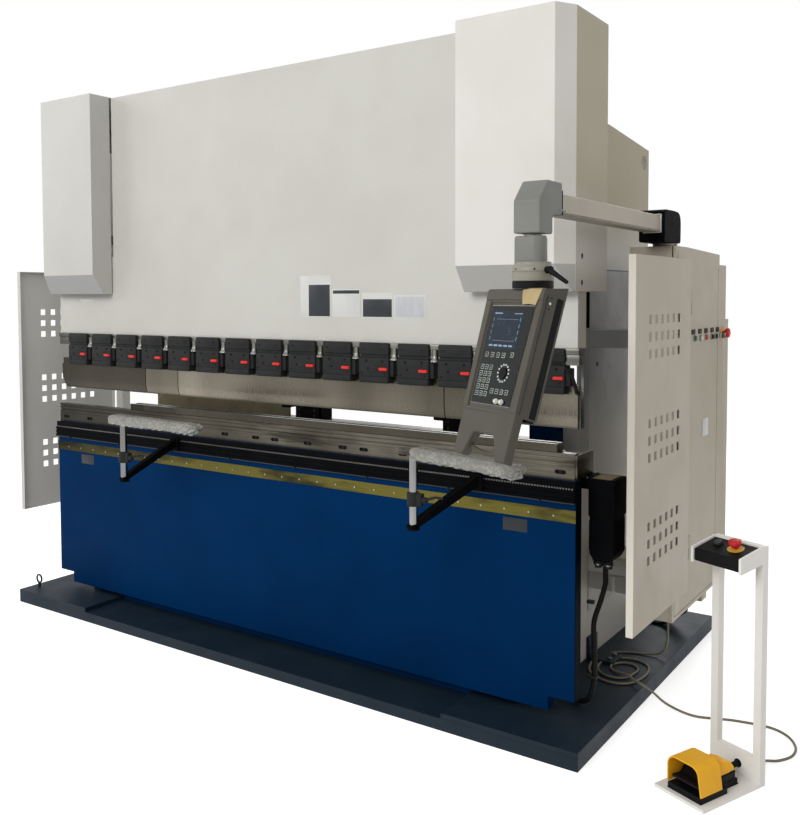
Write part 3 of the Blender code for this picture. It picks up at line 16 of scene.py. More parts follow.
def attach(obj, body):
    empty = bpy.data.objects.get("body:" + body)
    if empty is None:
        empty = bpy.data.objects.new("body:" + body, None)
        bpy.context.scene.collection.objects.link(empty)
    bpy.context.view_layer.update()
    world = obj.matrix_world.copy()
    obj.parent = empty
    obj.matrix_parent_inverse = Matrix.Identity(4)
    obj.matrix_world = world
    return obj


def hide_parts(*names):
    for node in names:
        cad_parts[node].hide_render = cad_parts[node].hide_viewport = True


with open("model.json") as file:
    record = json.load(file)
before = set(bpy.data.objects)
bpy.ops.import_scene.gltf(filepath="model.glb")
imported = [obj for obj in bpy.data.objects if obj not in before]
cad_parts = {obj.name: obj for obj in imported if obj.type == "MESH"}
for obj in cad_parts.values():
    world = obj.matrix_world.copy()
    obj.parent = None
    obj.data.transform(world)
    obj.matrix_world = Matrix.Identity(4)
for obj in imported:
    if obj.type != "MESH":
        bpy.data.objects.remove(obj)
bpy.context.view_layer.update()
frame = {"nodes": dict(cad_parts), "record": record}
NODES = frame["nodes"]
BODY_OF = {n: b for b, names in frame["record"]["behaviour"]["bodies"].items() for n in names}
SLOT_OF = {row["node"]: row["material_slot"] for row in frame["record"]["subparts"]}
FINISHES = {}

# Places repeated from the part's source
PAD_TOP = 0.0716
BED_FRONT = -0.387
RAM_FRONT = -0.3635
FRAME_OUTER = 1.38
CABINET_OUTER = 1.8215
GLAND_X = 1.7
STAND = Matrix.Translation((2.1224, -0.4136, 0.0)) @ Matrix.Rotation(math.radians(-23.0), 4, "Z")
CONTROL = (
    Matrix.Translation((1.756, -1.09, 1.7532)) @ Matrix.Rotation(math.radians(-24.0), 4, "Z")
    @ Matrix.Rotation(math.radians(-16.5), 4, "X")
)


# Directions, and the places that repeat along the machine
ORIGIN = (0.0, 0.0, 0.0)
UP = (0.0, 0.0, 1.0)
DOWN = (0.0, 0.0, -1.0)
OUT = (1.0, 0.0, 0.0)
FRONT = (0.0, -1.0, 0.0)
CLAMPS = np.linspace(-1.4178, 1.4676, 15)
COVER_SLOTS = (1.884, 1.7825)
TABLE_SLOTS = (
    -1.542, -1.334, -1.127, -0.918, -0.71, -0.523, -0.28, -0.0723, 0.0507, 0.2555, 0.4613, 0.5796,
    0.7895, 0.998, 1.206, 1.33, 1.5273,
)


# Camera, floor and light

def camera():
    """The photograph's camera, from a fit of straight edges on the bed, covers and cabinet."""
    yaw, pitch, roll = 0.5964, -0.0461, 0.0025
    focal, picture_height, shift_up = 919.4, 815, -0.0835
    place = (3.0024, -3.6509, 1.7291)
    look = Vector((-math.sin(yaw) * math.cos(pitch), math.cos(yaw) * math.cos(pitch), math.sin(pitch)))
    data = bpy.data.cameras.new("camera")
    data.sensor_width = 36.0
    data.lens = focal / picture_height * data.sensor_width
    data.shift_y = shift_up
    data.clip_end = 200.0
    eye = bpy.data.objects.new("camera", data)
    bpy.context.scene.collection.objects.link(eye)
    turn = look.to_track_quat("-Z", "Y").to_matrix().to_4x4()
    eye.matrix_world = Matrix.Translation(place) @ turn @ Matrix.Rotation(-roll, 4, "Z")
    bpy.context.scene.camera = eye


def lamp(name, at, target, size, power):
    """A rectangular lamp that faces its target."""
    data = bpy.data.lights.new(name, "AREA")
    data.shape = "RECTANGLE"
    data.size, data.size_y = size
    data.energy = power
    thing = bpy.data.objects.new(name, data)
    bpy.context.scene.collection.objects.link(thing)
    aim = (Vector(target) - Vector(at)).to_track_quat("-Z", "Y")
    thing.matrix_world = Matrix.Translation(at) @ aim.to_matrix().to_4x4()


def studio():
    """A pale floor, a soft world and two broad lamps; the camera and mirrors see the world as white."""
    bpy.context.scene.view_settings.view_transform = "Standard"
    world = bpy.data.worlds.new("studio")
    world.use_nodes = True
    bpy.context.scene.world = world
    tree = world.node_tree
    ambient = tree.nodes["Background"]
    ambient.inputs["Color"].default_value = (1.0, 0.985, 0.96, 1.0)
    ambient.inputs["Strength"].default_value = 0.4
    white = tree.nodes.new("ShaderNodeBackground")
    white.inputs["Color"].default_value = (1.0, 1.0, 1.0, 1.0)
    mix = tree.nodes.new("ShaderNodeMixShader")
    tree.links.new(seen_by_camera(tree), mix.inputs[0])
    tree.links.new(ambient.outputs[0], mix.inputs[1])
    tree.links.new(white.outputs[0], mix.inputs[2])
    tree.links.new(mix.outputs[0], tree.nodes["World Output"].inputs["Surface"])
    lamp("key", (0.6, -6.4, 4.4), (0.0, 0.0, 1.3), (4.4, 2.6), 250)
    lamp("side", (6.4, 0.4, 3.4), (1.4, 0.2, 1.2), (3.0, 2.4), 24)
    lamp("fill", (-5.0, -2.6, 3.4), (-0.8, 0.0, 1.2), (3.0, 2.4), 60)
    lamp("back", (-1.0, 5.6, 4.2), (0.0, 0.4, 1.4), (3.8, 2.4), 150)
    reach = 60.0
    corners = [(-reach, -reach, 0.0), (reach, -reach, 0.0), (reach, reach, 0.0), (-reach, reach, 0.0)]
    mesh = bpy.data.meshes.new("floor")
    mesh.from_pydata(corners, [], [(0, 1, 2, 3)])
    floor = bpy.data.objects.new("floor", mesh)
    bpy.context.scene.collection.objects.link(floor)
    mesh.materials.append(floor_material())


def seen_by_camera(tree):
    """One where a ray comes from the camera or from a mirror or glass, else zero."""
    path = tree.nodes.new("ShaderNodeLightPath")
    total = path.outputs["Is Camera Ray"]
    for word in ("Is Glossy Ray", "Is Transmission Ray"):
        add = tree.nodes.new("ShaderNodeMath")
        add.operation = "MAXIMUM"
        tree.links.new(total, add.inputs[0])
        tree.links.new(path.outputs[word], add.inputs[1])
        total = add.outputs[0]
    return total


def floor_material():
    """Pale grey that takes the shadow, lifted to white by a faint glow that only the camera sees."""
    made = bpy.data.materials.new("floor")
    made.use_nodes = True
    tree = made.node_tree
    shader = tree.nodes["Principled BSDF"]
    shader.inputs["Base Color"].default_value = (0.86, 0.86, 0.86, 1.0)
    shader.inputs["Roughness"].default_value = 0.9
    glow = tree.nodes.new("ShaderNodeEmission")
    glow.inputs["Strength"].default_value = 0.62
    both = tree.nodes.new("ShaderNodeAddShader")
    mix = tree.nodes.new("ShaderNodeMixShader")
    tree.links.new(shader.outputs[0], both.inputs[0])
    tree.links.new(glow.outputs[0], both.inputs[1])
    tree.links.new(seen_by_camera(tree), mix.inputs[0])
    tree.links.new(shader.outputs[0], mix.inputs[1])
    tree.links.new(both.outputs[0], mix.inputs[2])
    tree.links.new(mix.outputs[0], tree.nodes["Material Output"].inputs["Surface"])
    return made


# Materials

class Paint:
    """A node material under way: each method adds a layer that the maker would name."""

    def __init__(self, name, rough, metal=0.0):
        self.made = bpy.data.materials.new(name)
        self.made.use_nodes = True
        self.tree = self.made.node_tree
        self.shader = self.tree.nodes["Principled BSDF"]
        self.shader.inputs["Roughness"].default_value = rough
        self.shader.inputs["Metallic"].default_value = metal
        self.shader.inputs["Specular IOR Level"].default_value = 0.5 if metal else 0.22
        self.place = self.tree.nodes.new("ShaderNodeTexCoord").outputs["Object"]
        FINISHES[name] = self.made

    def link(self, source, target):
        """Joins an output to an input."""
        self.tree.links.new(source, target)

    def noise(self, scale, detail=3.0, stretch=None):
        """Cloudy noise, from 0 to 1, drawn out along an axis where stretch is small."""
        node = self.tree.nodes.new("ShaderNodeTexNoise")
        node.inputs["Scale"].default_value = scale
        node.inputs["Detail"].default_value = detail
        node.inputs["Roughness"].default_value = 0.55
        self.link(self.stretched(stretch), node.inputs["Vector"])
        return node.outputs["Fac"]

    def cells(self, scale):
        """The distance to the nearest of many scattered points."""
        node = self.tree.nodes.new("ShaderNodeTexVoronoi")
        node.inputs["Scale"].default_value = scale
        self.link(self.place, node.inputs["Vector"])
        return node.outputs["Distance"]

    def stretched(self, stretch):
        """The place on the machine, scaled along each axis where a stretch is given."""
        if stretch is None:
            return self.place
        node = self.tree.nodes.new("ShaderNodeMapping")
        node.inputs["Scale"].default_value = stretch
        self.link(self.place, node.inputs["Vector"])
        return node.outputs["Vector"]

    def along(self, axis, low, high, to_low=0.0, to_high=1.0):
        """A ramp between two places on X, Y or Z, from 0 to 1 unless told."""
        parts = self.tree.nodes.new("ShaderNodeSeparateXYZ")
        self.link(self.place, parts.inputs[0])
        return self.ranged(parts.outputs[axis], low, high, to_low, to_high)

    def ranged(self, value, low, high, to_low=0.0, to_high=1.0):
        """A value moved from one range to another, and held inside it."""
        node = self.tree.nodes.new("ShaderNodeMapRange")
        for key, number in zip(("From Min", "From Max", "To Min", "To Max"), (low, high, to_low, to_high)):
            node.inputs[key].default_value = number
        self.link(value, node.inputs["Value"])
        return node.outputs["Result"]

    def times(self, a, b):
        """The product of a socket and another socket or a number."""
        node = self.tree.nodes.new("ShaderNodeMath")
        node.operation = "MULTIPLY"
        self.link(a, node.inputs[0])
        if isinstance(b, float):
            node.inputs[1].default_value = b
        else:
            self.link(b, node.inputs[1])
        return node.outputs[0]

    def mixed(self, amount, below, above):
        """One colour over another by an amount; each is a colour or a socket."""
        node = self.tree.nodes.new("ShaderNodeMix")
        node.data_type = "RGBA"
        self.link(amount, node.inputs["Factor"])
        for key, value in ((6, below), (7, above)):
            if isinstance(value, tuple):
                node.inputs[key].default_value = (*value, 1.0)
            else:
                self.link(value, node.inputs[key])
        return node.outputs[2]

    def colour(self, value):
        """Sets the base colour to a colour or a socket."""
        if isinstance(value, tuple):
            self.shader.inputs["Base Color"].default_value = (*value, 1.0)
        else:
            self.link(value, self.shader.inputs["Base Color"])

    def over(self, amount, above):
        """Lays another colour over what the base colour already is."""
        self.colour(self.mixed(amount, self.shader.inputs["Base Color"].links[0].from_socket, above))

    def sheen(self, level):
        """Sets how strongly the surface mirrors its surroundings."""
        self.shader.inputs["Specular IOR Level"].default_value = level
        return self

    def rough(self, amount, low, high):
        """Varies the roughness between two numbers with a noise."""
        self.link(self.ranged(amount, 0.25, 0.75, low, high), self.shader.inputs["Roughness"])

    def bump(self, height, strength, distance):
        """Raises and sinks the surface by a noise."""
        node = self.tree.nodes.new("ShaderNodeBump")
        node.inputs["Strength"].default_value = strength
        node.inputs["Distance"].default_value = distance
        self.link(height, node.inputs["Height"])
        self.link(node.outputs[0], self.shader.inputs["Normal"])


def tone(red, green, blue):
    """Linear colour from sRGB numbers of 0 to 255."""
    value = np.array((red, green, blue)) / 255
    return tuple(np.where(value <= 0.04045, value / 12.92, ((value + 0.055) / 1.055) ** 2.4).tolist())


def sprayed(name, colour, soiled, rough=0.42, grain=900.0, peel=0.1, patch=1.6, speck=None):
    """Sprayed paint: faint clouds of soil, fine specks and an orange peel skin."""
    paint = Paint(name, rough)
    clouds = paint.noise(patch, 5.0)
    body = paint.mixed(paint.ranged(clouds, 0.42, 0.72), colour, soiled)
    if speck:
        dots = paint.ranged(paint.noise(grain * 0.35, 2.0), 0.6, 0.72)
        body = paint.mixed(paint.times(dots, 0.55), body, speck)
    paint.colour(body)
    paint.rough(paint.noise(7.0, 4.0), rough - 0.06, rough + 0.08)
    paint.bump(paint.noise(grain * 0.25, 2.0), peel, 0.0006)
    return paint


def ground(name, colour, dark, rough, stretch, lines=220.0):
    """Ground steel: fine lines along the work, broad soft bands and a film of oil."""
    paint = Paint(name, rough, 1.0)
    fine = paint.noise(lines, 3.0, stretch)
    film = paint.noise(2.2, 4.0)
    body = paint.mixed(paint.ranged(film, 0.35, 0.75), colour, dark)
    body = paint.mixed(paint.times(paint.ranged(fine, 0.45, 0.7), 0.35), body, dark)
    paint.colour(body)
    paint.rough(fine, rough - 0.07, rough + 0.12)
    paint.bump(fine, 0.08, 0.0004)
    return paint


def moulded(name, colour, worn, rough=0.35, grain=900.0, sheen=None):
    """Moulded or blackened surface: slightly worn patches, and a fine even grain where one is given."""
    paint = Paint(name, rough)
    patches = paint.ranged(paint.noise(9.0, 4.0), 0.45, 0.8)
    paint.colour(paint.mixed(patches, tone(*colour), tone(*worn)))
    paint.rough(paint.noise(30.0, 3.0), rough - 0.06, rough + 0.08)
    if grain:
        paint.bump(paint.noise(grain * 0.3, 2.0), 0.12, 0.0003)
    if sheen:
        paint.sheen(sheen)


# A moulded finish: its colour and its worn colour in sRGB, then its roughness, grain and shine if they matter
MOULDED = {
    "clamp_black": ((30, 32, 31), (38, 40, 39), 0.6, 1400.0, 0.16),
    "rail_black": ((7, 8, 10), (12, 13, 15), 0.6, 1400.0, 0.03),
    "black_plastic": ((12, 12, 13), (19, 19, 20), 0.5, 1400.0, 0.1),
    "cable_black": ((13, 13, 15), (20, 20, 22), 0.5, 1400.0, 0.14),
    "cable_grey": ((132, 124, 106), (112, 104, 88), 0.5, 1600.0),
    "pedal_yellow": ((248, 184, 36), (240, 172, 30), 0.4),
    "stop_red": ((204, 44, 44), (190, 34, 36), 0.34),
    "grip_red": ((218, 54, 50), (206, 44, 42), 0.38),
    "stop_yellow": ((214, 168, 44), (200, 152, 36), 0.4),
    "button_green": ((24, 110, 76), (18, 92, 62)),
    "button_white": ((214, 214, 206), (196, 196, 188)),
    "plate_pale": ((206, 207, 204), (196, 197, 192)),
    "plate_dark": ((46, 50, 54), (54, 58, 62), 0.4),
    "plate_gold": ((122, 106, 58), (96, 84, 46), 0.45, 700.0),
    "key_pale": ((178, 188, 180), (150, 160, 152), 0.4),
    "olive_paint": ((196, 185, 150), (160, 150, 118), 0.55, 60.0),
    "washer_white": ((214, 214, 208), (200, 200, 194), 0.5),
    "screen_light": ((128, 156, 176), (108, 136, 158), 0.3),
    "beam_shade": ((134, 128, 115), (120, 114, 102), 0.5),
    "flange_grey": ((142, 138, 126), (132, 128, 116)),
    "clear_cover": ((62, 64, 64), (84, 86, 86), 0.12, 400.0),
    "masking_tape": ((176, 158, 118), (160, 142, 102), 0.7, 500.0),
    "dark_gap": ((10, 10, 11), (22, 22, 23), 0.85, 1400.0),
    "dark_glass": ((10, 15, 16), (12, 17, 18), 0.1, None, 0.06),
}


def finishes():
    """Every finish on the machine, named for where it goes."""
    white = sprayed("white_paint", tone(219, 217, 212), tone(210, 207, 200), speck=tone(204, 200, 192))
    # Painted shade: the right cover's outer side, which faces +X, turns beige, fully from z 2.16 up and
    # faintly below z 1.93.
    shaded_outer_side = white.times(white.along("X", 1.6015, 1.6025), white.along("Z", 1.93, 2.16, 0.12, 1.0))
    white.over(shaded_outer_side, tone(186, 178, 157))
    # Painted shade: the ram and the left cover wear the same white paint as the rest, in these two darker
    # copies.
    sprayed("ram_shaded_white", tone(198, 197, 191), tone(190, 188, 181), speck=tone(186, 183, 175))
    left = sprayed("left_cover_shaded_white", tone(194, 193, 189), tone(188, 187, 181), speck=tone(182, 180, 174))
    # Painted shade on both covers' lower fronts: below z 1.852, where the lip slants down, the paint is
    # darker; the right cover's outer side is left out.
    for paint, side, shade in ((white, 1, tone(178, 177, 173)), (left, -1, tone(164, 164, 163))):
        within = paint.times(
            paint.along("X", side * 1.1265, side * 1.1275), paint.along("X", side * 1.6025, side * 1.6015),
        )
        paint.over(paint.times(within, paint.along("Z", 1.8525, 1.8515)), shade)
    sprayed("guard_grey", tone(203, 202, 198), tone(194, 193, 188), speck=tone(184, 182, 176))
    # Painted shade: the cabinet and the right guard are the white paint, darkened to beige as on faces that
    # look to +X.
    cabinet = sprayed("cabinet_shaded_paint", tone(190, 180, 165), tone(180, 170, 154), speck=tone(170, 160, 144))
    rear = cabinet.times(cabinet.along("Y", 0.19, 0.198), cabinet.along("Z", 1.45, 1.9, 1.0, 0.3))
    cabinet.over(rear, tone(176, 168, 149))
    # Painted light: faces in front of y -0.4615, the right guard's front, go back to near white.
    cabinet.over(cabinet.along("Y", -0.4605, -0.4615), tone(226, 220, 208))
    arms = cabinet.times(cabinet.along("X", 1.622, 1.618), cabinet.along("Z", 0.9, 1.0))
    cabinet.over(arms, tone(172, 174, 177))
    low = cabinet.times(cabinet.along("X", 1.622, 1.618), cabinet.along("Z", 0.6, 0.5))
    cabinet.over(low, tone(224, 223, 218))
    sprayed("stand_paint", tone(243, 241, 236), tone(234, 231, 224), speck=tone(224, 220, 211))
    blue = sprayed("blue_paint", tone(0, 44, 88), tone(0, 37, 75), 0.46, 1100.0, 0.16, speck=tone(8, 54, 100))
    blue.sheen(0.02)
    # Painted shade: the bed plate's right end face, beyond x 1.5985, goes near black.
    blue.over(blue.along("X", 1.5965, 1.5985), tone(6, 12, 20))
    sprayed(
        "platform_paint", tone(12, 28, 40), tone(20, 35, 47), 0.55, 700.0, 0.25, 3.0,
        speck=tone(52, 66, 76),
    )
    sprayed(
        "control_paint", tone(76, 73, 65), tone(69, 66, 58), 0.5, 2200.0, 0.25, 6.0,
        speck=tone(90, 87, 79),
    )
    sprayed("arm_paint", tone(125, 126, 121), tone(117, 118, 113), 0.42, 1800.0, 0.12, 6.0)
    sprayed("beam_paint", tone(186, 179, 164), tone(174, 167, 152), 0.42, 1800.0, 0.12, 4.0)
    bare_frame()
    steel = ground("table_steel", tone(104, 100, 90), tone(52, 49, 42), 0.3, (0.02, 1.0, 1.0))
    smears = steel.ranged(steel.noise(9.0, 5.0, (0.25, 1.0, 3.0)), 0.54, 0.64, 0.0, 0.65)
    steel.over(smears, tone(36, 34, 29))
    # Painted shade: the table steel is darker towards the left, from x -0.2 to x -1.3.
    steel.over(steel.along("X", -1.3, -0.2, 0.75, 0.0), tone(40, 38, 33))
    banded_punch()
    ground("post_chrome", tone(150, 150, 150), tone(112, 112, 112), 0.14, (1.0, 1.0, 0.1), 60.0)
    ground("zinc", tone(128, 127, 122), tone(92, 91, 87), 0.32, (1.0, 1.0, 1.0), 300.0)
    ground("bright_zinc", tone(186, 186, 182), tone(150, 150, 146), 0.28, (1.0, 1.0, 1.0), 300.0)
    brass = ground("brass", tone(92, 88, 44), tone(58, 56, 30), 0.42, (0.05, 1.0, 1.0))
    smears = brass.ranged(brass.noise(5.0, 6.0, (0.35, 1.0, 1.6)), 0.5, 0.62)
    brass.colour(brass.mixed(smears, tone(98, 92, 44), tone(50, 48, 30)))
    # Painted shade: the brass is darker towards the left, from x -0.5 to x -1.6.
    brass.over(brass.along("X", -1.6, -0.5, 0.85, 0.0), tone(26, 25, 14))
    for name, values in MOULDED.items():
        moulded(name, *values)
    screen()
    bubble_film()


def bare_frame():
    """The side frames: painted pale above a line and near the foot, and cloudy bare plate between."""
    paint = Paint("frame_paint", 0.5)
    clouds = paint.noise(2.6, 5.0, (1.0, 1.0, 0.7))
    bare = paint.mixed(paint.ranged(clouds, 0.35, 0.7), tone(204, 206, 209), tone(160, 163, 168))
    fine = paint.noise(90.0, 4.0, (1.0, 1.0, 0.15))
    bare = paint.mixed(paint.times(paint.ranged(fine, 0.4, 0.7), 0.16), bare, tone(120, 122, 126))
    spot = paint.ranged(paint.noise(7.0, 2.0), 0.72, 0.8)
    bare = paint.mixed(paint.times(spot, 0.6), bare, tone(108, 110, 114))
    low = paint.along("Z", 1.1, 1.3, 1.0, 0.0)
    high = paint.along("Z", 1.845, 1.8456)
    white = paint.mixed(paint.ranged(clouds, 0.4, 0.8), tone(208, 206, 201), tone(196, 194, 188))
    body = paint.mixed(low, bare, white)
    paint.colour(paint.mixed(high, body, white))
    # Painted shade: the frame's outer face beyond x 1.378 turns beige above z 1.94, fully from z 2.1 up.
    upper = paint.times(paint.along("X", 1.374, 1.378), paint.along("Z", 1.94, 2.1))
    paint.over(upper, paint.mixed(clouds, tone(190, 181, 158), tone(176, 167, 144)))
    paint.over(paint.along("Y", -0.372, -0.38), tone(84, 86, 90))
    paint.rough(fine, 0.38, 0.56)
    paint.bump(fine, 0.06, 0.0004)


def banded_punch():
    """Ground punch steel: upright fine lines, and broad soft light and dark bands along its length."""
    paint = ground("tool_steel", tone(140, 134, 122), tone(92, 86, 76), 0.26, (1.0, 1.0, 0.03))
    fine = paint.noise(220.0, 3.0, (1.0, 1.0, 0.03))
    bands = paint.ranged(paint.noise(1.5, 2.0, (1.0, 0.05, 0.05)), 0.38, 0.62)
    body = paint.mixed(bands, tone(150, 143, 130), tone(88, 84, 74))
    left = paint.along("X", -0.889, -0.887, 0.85, 0.0)
    middle = paint.along("X", -0.639, -0.637, 0.5, 0.0)
    body = paint.mixed(left, paint.mixed(middle, body, tone(84, 79, 70)), tone(58, 55, 48))
    low = paint.along("Z", 1.2164, 1.23, 0.8, 0.0)
    body = paint.mixed(low, body, tone(40, 36, 30))
    # Painted shade: the punch darkens towards the right, from x -0.6 to x -0.1.
    right = paint.along("X", -0.6, -0.1, 0.0, 0.55)
    body = paint.mixed(right, body, tone(78, 74, 65))
    paint.colour(paint.mixed(paint.times(paint.ranged(fine, 0.45, 0.7), 0.12), body, tone(80, 74, 66)))


def screen():
    """A dark blue display with a faint raster of rows and soft bright patches."""
    paint = Paint("screen_blue", 0.12).sheen(0.05)
    rows = paint.ranged(paint.noise(420.0, 1.0, (0.3, 0.3, 1.0)), 0.55, 0.75)
    patch = paint.ranged(paint.noise(30.0, 3.0), 0.5, 0.72)
    body = paint.mixed(paint.times(rows, patch), tone(20, 34, 48), tone(84, 114, 136))
    paint.colour(body)


def bubble_film():
    """Whitish bubble film: milky body under a clear skin, cloudy where its layers lie together."""
    paint = Paint("bubble_wrap", 0.24)
    layers = paint.ranged(paint.noise(16.0, 4.0), 0.35, 0.7)
    creases = paint.ranged(paint.cells(34.0), 0.15, 0.5)
    body = paint.mixed(layers, tone(176, 175, 168), tone(142, 141, 133))
    bubbles = paint.ranged(paint.cells(95.0), 0.25, 0.6, 0.0, 0.55)
    body = paint.mixed(bubbles, body, tone(104, 103, 96))
    paint.colour(paint.mixed(paint.times(creases, 0.4), body, tone(120, 119, 111)))
    paint.shader.inputs["Coat Weight"].default_value = 0.45
    paint.shader.inputs["Coat Roughness"].default_value = 0.08
    paint.bump(paint.noise(120.0, 3.0), 0.25, 0.0008)


# Shapes

def merged(*shapes):
    """Several shapes as one: their points in a row, and each one's faces counted on from there."""
    starts = np.cumsum([0] + [len(points) for points, _ in shapes])
    faces = [table + start for (_, tables), start in zip(shapes, starts) for table in tables]
    return np.vstack([points for points, _ in shapes]), faces


def tube(rings):
    """Rings of points skinned in order, with a flat cap at each end.

    Seen from the last ring's side, the points run counter-clockwise, so every face looks outwards.
    """
    rows, columns = rings.shape[:2]
    index = np.arange(rows * columns).reshape(rows, columns)
    caps = np.stack([index[0, ::-1], index[-1]])
    index = np.hstack([index, index[:, :1]])
    quads = np.stack([index[:-1, 1:], index[1:, 1:], index[1:, :-1], index[:-1, :-1]], axis=-1)
    return rings.reshape(-1, 3), [quads.reshape(-1, 4), caps]


def block(low, high, radius=0.002, steps=2):
    """A rounded box: a sphere's grid whose eight octants are pulled apart to the corners."""
    low, high = np.minimum(low, high).astype(float), np.maximum(low, high).astype(float)
    radius = min(radius, *(0.499 * (high - low)))
    quarter = np.linspace(0.0, math.pi / 2, steps + 1)
    around = np.concatenate([quarter + k * math.pi / 2 for k in range(4)])
    sign_u = np.repeat([(1, 1), (-1, 1), (-1, -1), (1, -1)], steps + 1, axis=0)
    up = np.concatenate([quarter - math.pi / 2, quarter])
    sign_v = np.repeat([-1.0, 1.0], steps + 1)
    ring = np.cos(up)[:, None]
    ball = np.stack([ring * np.cos(around), ring * np.sin(around), np.sin(up)[:, None] + 0 * around], -1)
    corner = np.stack([sign_u[:, 0] + 0 * ring, sign_u[:, 1] + 0 * ring, sign_v[:, None] + 0 * around], -1)
    middle, half = (low + high) / 2, (high - low) / 2
    return tube(middle + corner * (half - radius) + ball * radius)


def slab(outline, axis, low, high):
    """A flat outline carried straight along an axis, with both ends closed."""
    flat = np.array(outline, float)
    area = np.sum(flat[:, 0] * np.roll(flat[:, 1], -1) - np.roll(flat[:, 0], -1) * flat[:, 1])
    if (area > 0) == (axis == "Y"):
        flat = flat[::-1]
    ends = [np.insert(flat, "XYZ".index(axis), level, axis=1) for level in (low, high)]
    return tube(np.stack(ends))


def turned(profile, start, direction, sides=24):
    """A profile of distances and radii along an axis, spun round it; both ends close on the axis."""
    axis = np.array(direction, float)
    axis /= np.linalg.norm(axis)
    side = np.cross(axis, (0.0, 0.0, 1.0) if abs(axis[2]) < 0.9 else (1.0, 0.0, 0.0))
    side /= np.linalg.norm(side)
    other = np.cross(axis, side)
    angle = np.arange(sides) * 2 * math.pi / sides
    ring = np.cos(angle)[:, None] * side + np.sin(angle)[:, None] * other
    distance, radius = np.array(profile, float).T
    return tube(np.array(start, float) + distance[:, None, None] * axis + radius[:, None, None] * ring)


def bar(start, end, radius, sides=16, edge=0.0008):
    """A round bar between two points, with its end edges broken."""
    span = np.array(end, float) - np.array(start, float)
    length = float(np.linalg.norm(span))
    edge = min(edge, radius * 0.4, length * 0.4)
    profile = [(0, radius - edge), (edge, radius), (length - edge, radius), (length, radius - edge)]
    return turned(profile, start, span, sides)


def smooth_route(given, spacing):
    """Points at an even spacing along a Catmull-Rom curve through the given ones."""
    given = np.array(given, float)
    ends = np.vstack([2 * given[0] - given[1], given, 2 * given[-1] - given[-2]])
    a, b, c, d = (ends[k : len(ends) - 3 + k, None, :] for k in range(4))
    t = np.linspace(0.0, 1.0, 24, endpoint=False)[None, :, None]
    curve = 0.5 * (2 * b + (c - a) * t + (2 * a - 5 * b + 4 * c - d) * t**2 + (3 * b - a - 3 * c + d) * t**3)
    fine = np.vstack([curve.reshape(-1, 3), given[-1:]])
    walked = np.concatenate([[0.0], np.cumsum(np.linalg.norm(np.diff(fine, axis=0), axis=1))])
    even = np.linspace(0.0, walked[-1], max(2, int(round(walked[-1] / spacing)) + 1))
    return np.stack([np.interp(even, walked, fine[:, k]) for k in range(3)], axis=1)


def swept(path, radius, sides=12, flat=1.0):
    """A round or flattened section carried along a path; radius may differ at each point."""
    path = np.array(path, float)
    ahead = np.gradient(path, axis=0)
    ahead /= np.linalg.norm(ahead, axis=1)[:, None]
    side = np.empty_like(path)
    first = np.cross(ahead[0], (0.0, 0.0, 1.0) if abs(ahead[0][2]) < 0.9 else (1.0, 0.0, 0.0))
    side[0] = first / np.linalg.norm(first)
    for k in range(1, len(path)):
        carried = side[k - 1] - ahead[k] * np.dot(side[k - 1], ahead[k])
        side[k] = carried / np.linalg.norm(carried)
    other = np.cross(ahead, side)
    angle = np.arange(sides) * 2 * math.pi / sides
    reach = np.broadcast_to(radius, len(path))[:, None, None]
    points = path[:, None] + reach * (
        np.cos(angle)[None, :, None] * side[:, None] + flat * np.sin(angle)[None, :, None] * other[:, None]
    )
    return tube(points)


def moved(shape, matrix):
    """A shape carried by a 4 by 4 matrix."""
    points, faces = shape
    matrix = np.array(matrix, float)
    return points @ matrix[:3, :3].T + matrix[:3, 3], faces


def stamped(shape, places):
    """One copy of a shape at each place, a row of three numbers."""
    points, faces = shape
    places = np.array(places, float).reshape(-1, 3)
    steps = np.arange(len(places)) * len(points)
    tables = [(table[None] + steps[:, None, None]).reshape(-1, table.shape[1]) for table in faces]
    return (points[None] + places[:, None]).reshape(-1, 3), tables


def piece(name, shape, finish, body="machine", slot=None, angle=35.0, rounded=0.0, steps=2, node=None):
    """A new object from a shape, smooth except round its caps and over edges sharper than the angle.

    It rides a body; its slot argument is not used. Its edges may be rounded, and it may stand for a CAD node.
    """
    points, tables = shape
    mesh = bpy.data.meshes.new(name)
    mesh.from_pydata(points.tolist(), [], [row for table in tables for row in table.tolist()])
    mesh.validate()
    mesh.shade_smooth()
    mesh.set_sharp_from_angle(angle=math.radians(angle))
    rims = {key for face in mesh.polygons if len(face.vertices) > 4 for key in face.edge_keys}
    for edge in mesh.edges:
        if edge.key in rims:
            edge.use_edge_sharp = True
    thing = bpy.data.objects.new(name, mesh)
    bpy.context.scene.collection.objects.link(thing)
    mesh.materials.append(FINISHES[finish])
    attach(thing, body)
    if rounded:
        round_off(thing, rounded, steps)
    if node:
        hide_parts(node)
    return thing


def maker(matrix, body):
    """A function that makes pieces in a turned frame, all of them on one body."""
    def make(name, shape, finish, slot=None, **more):
        return piece(name, moved(shape, matrix), finish, body, slot, **more)
    return make


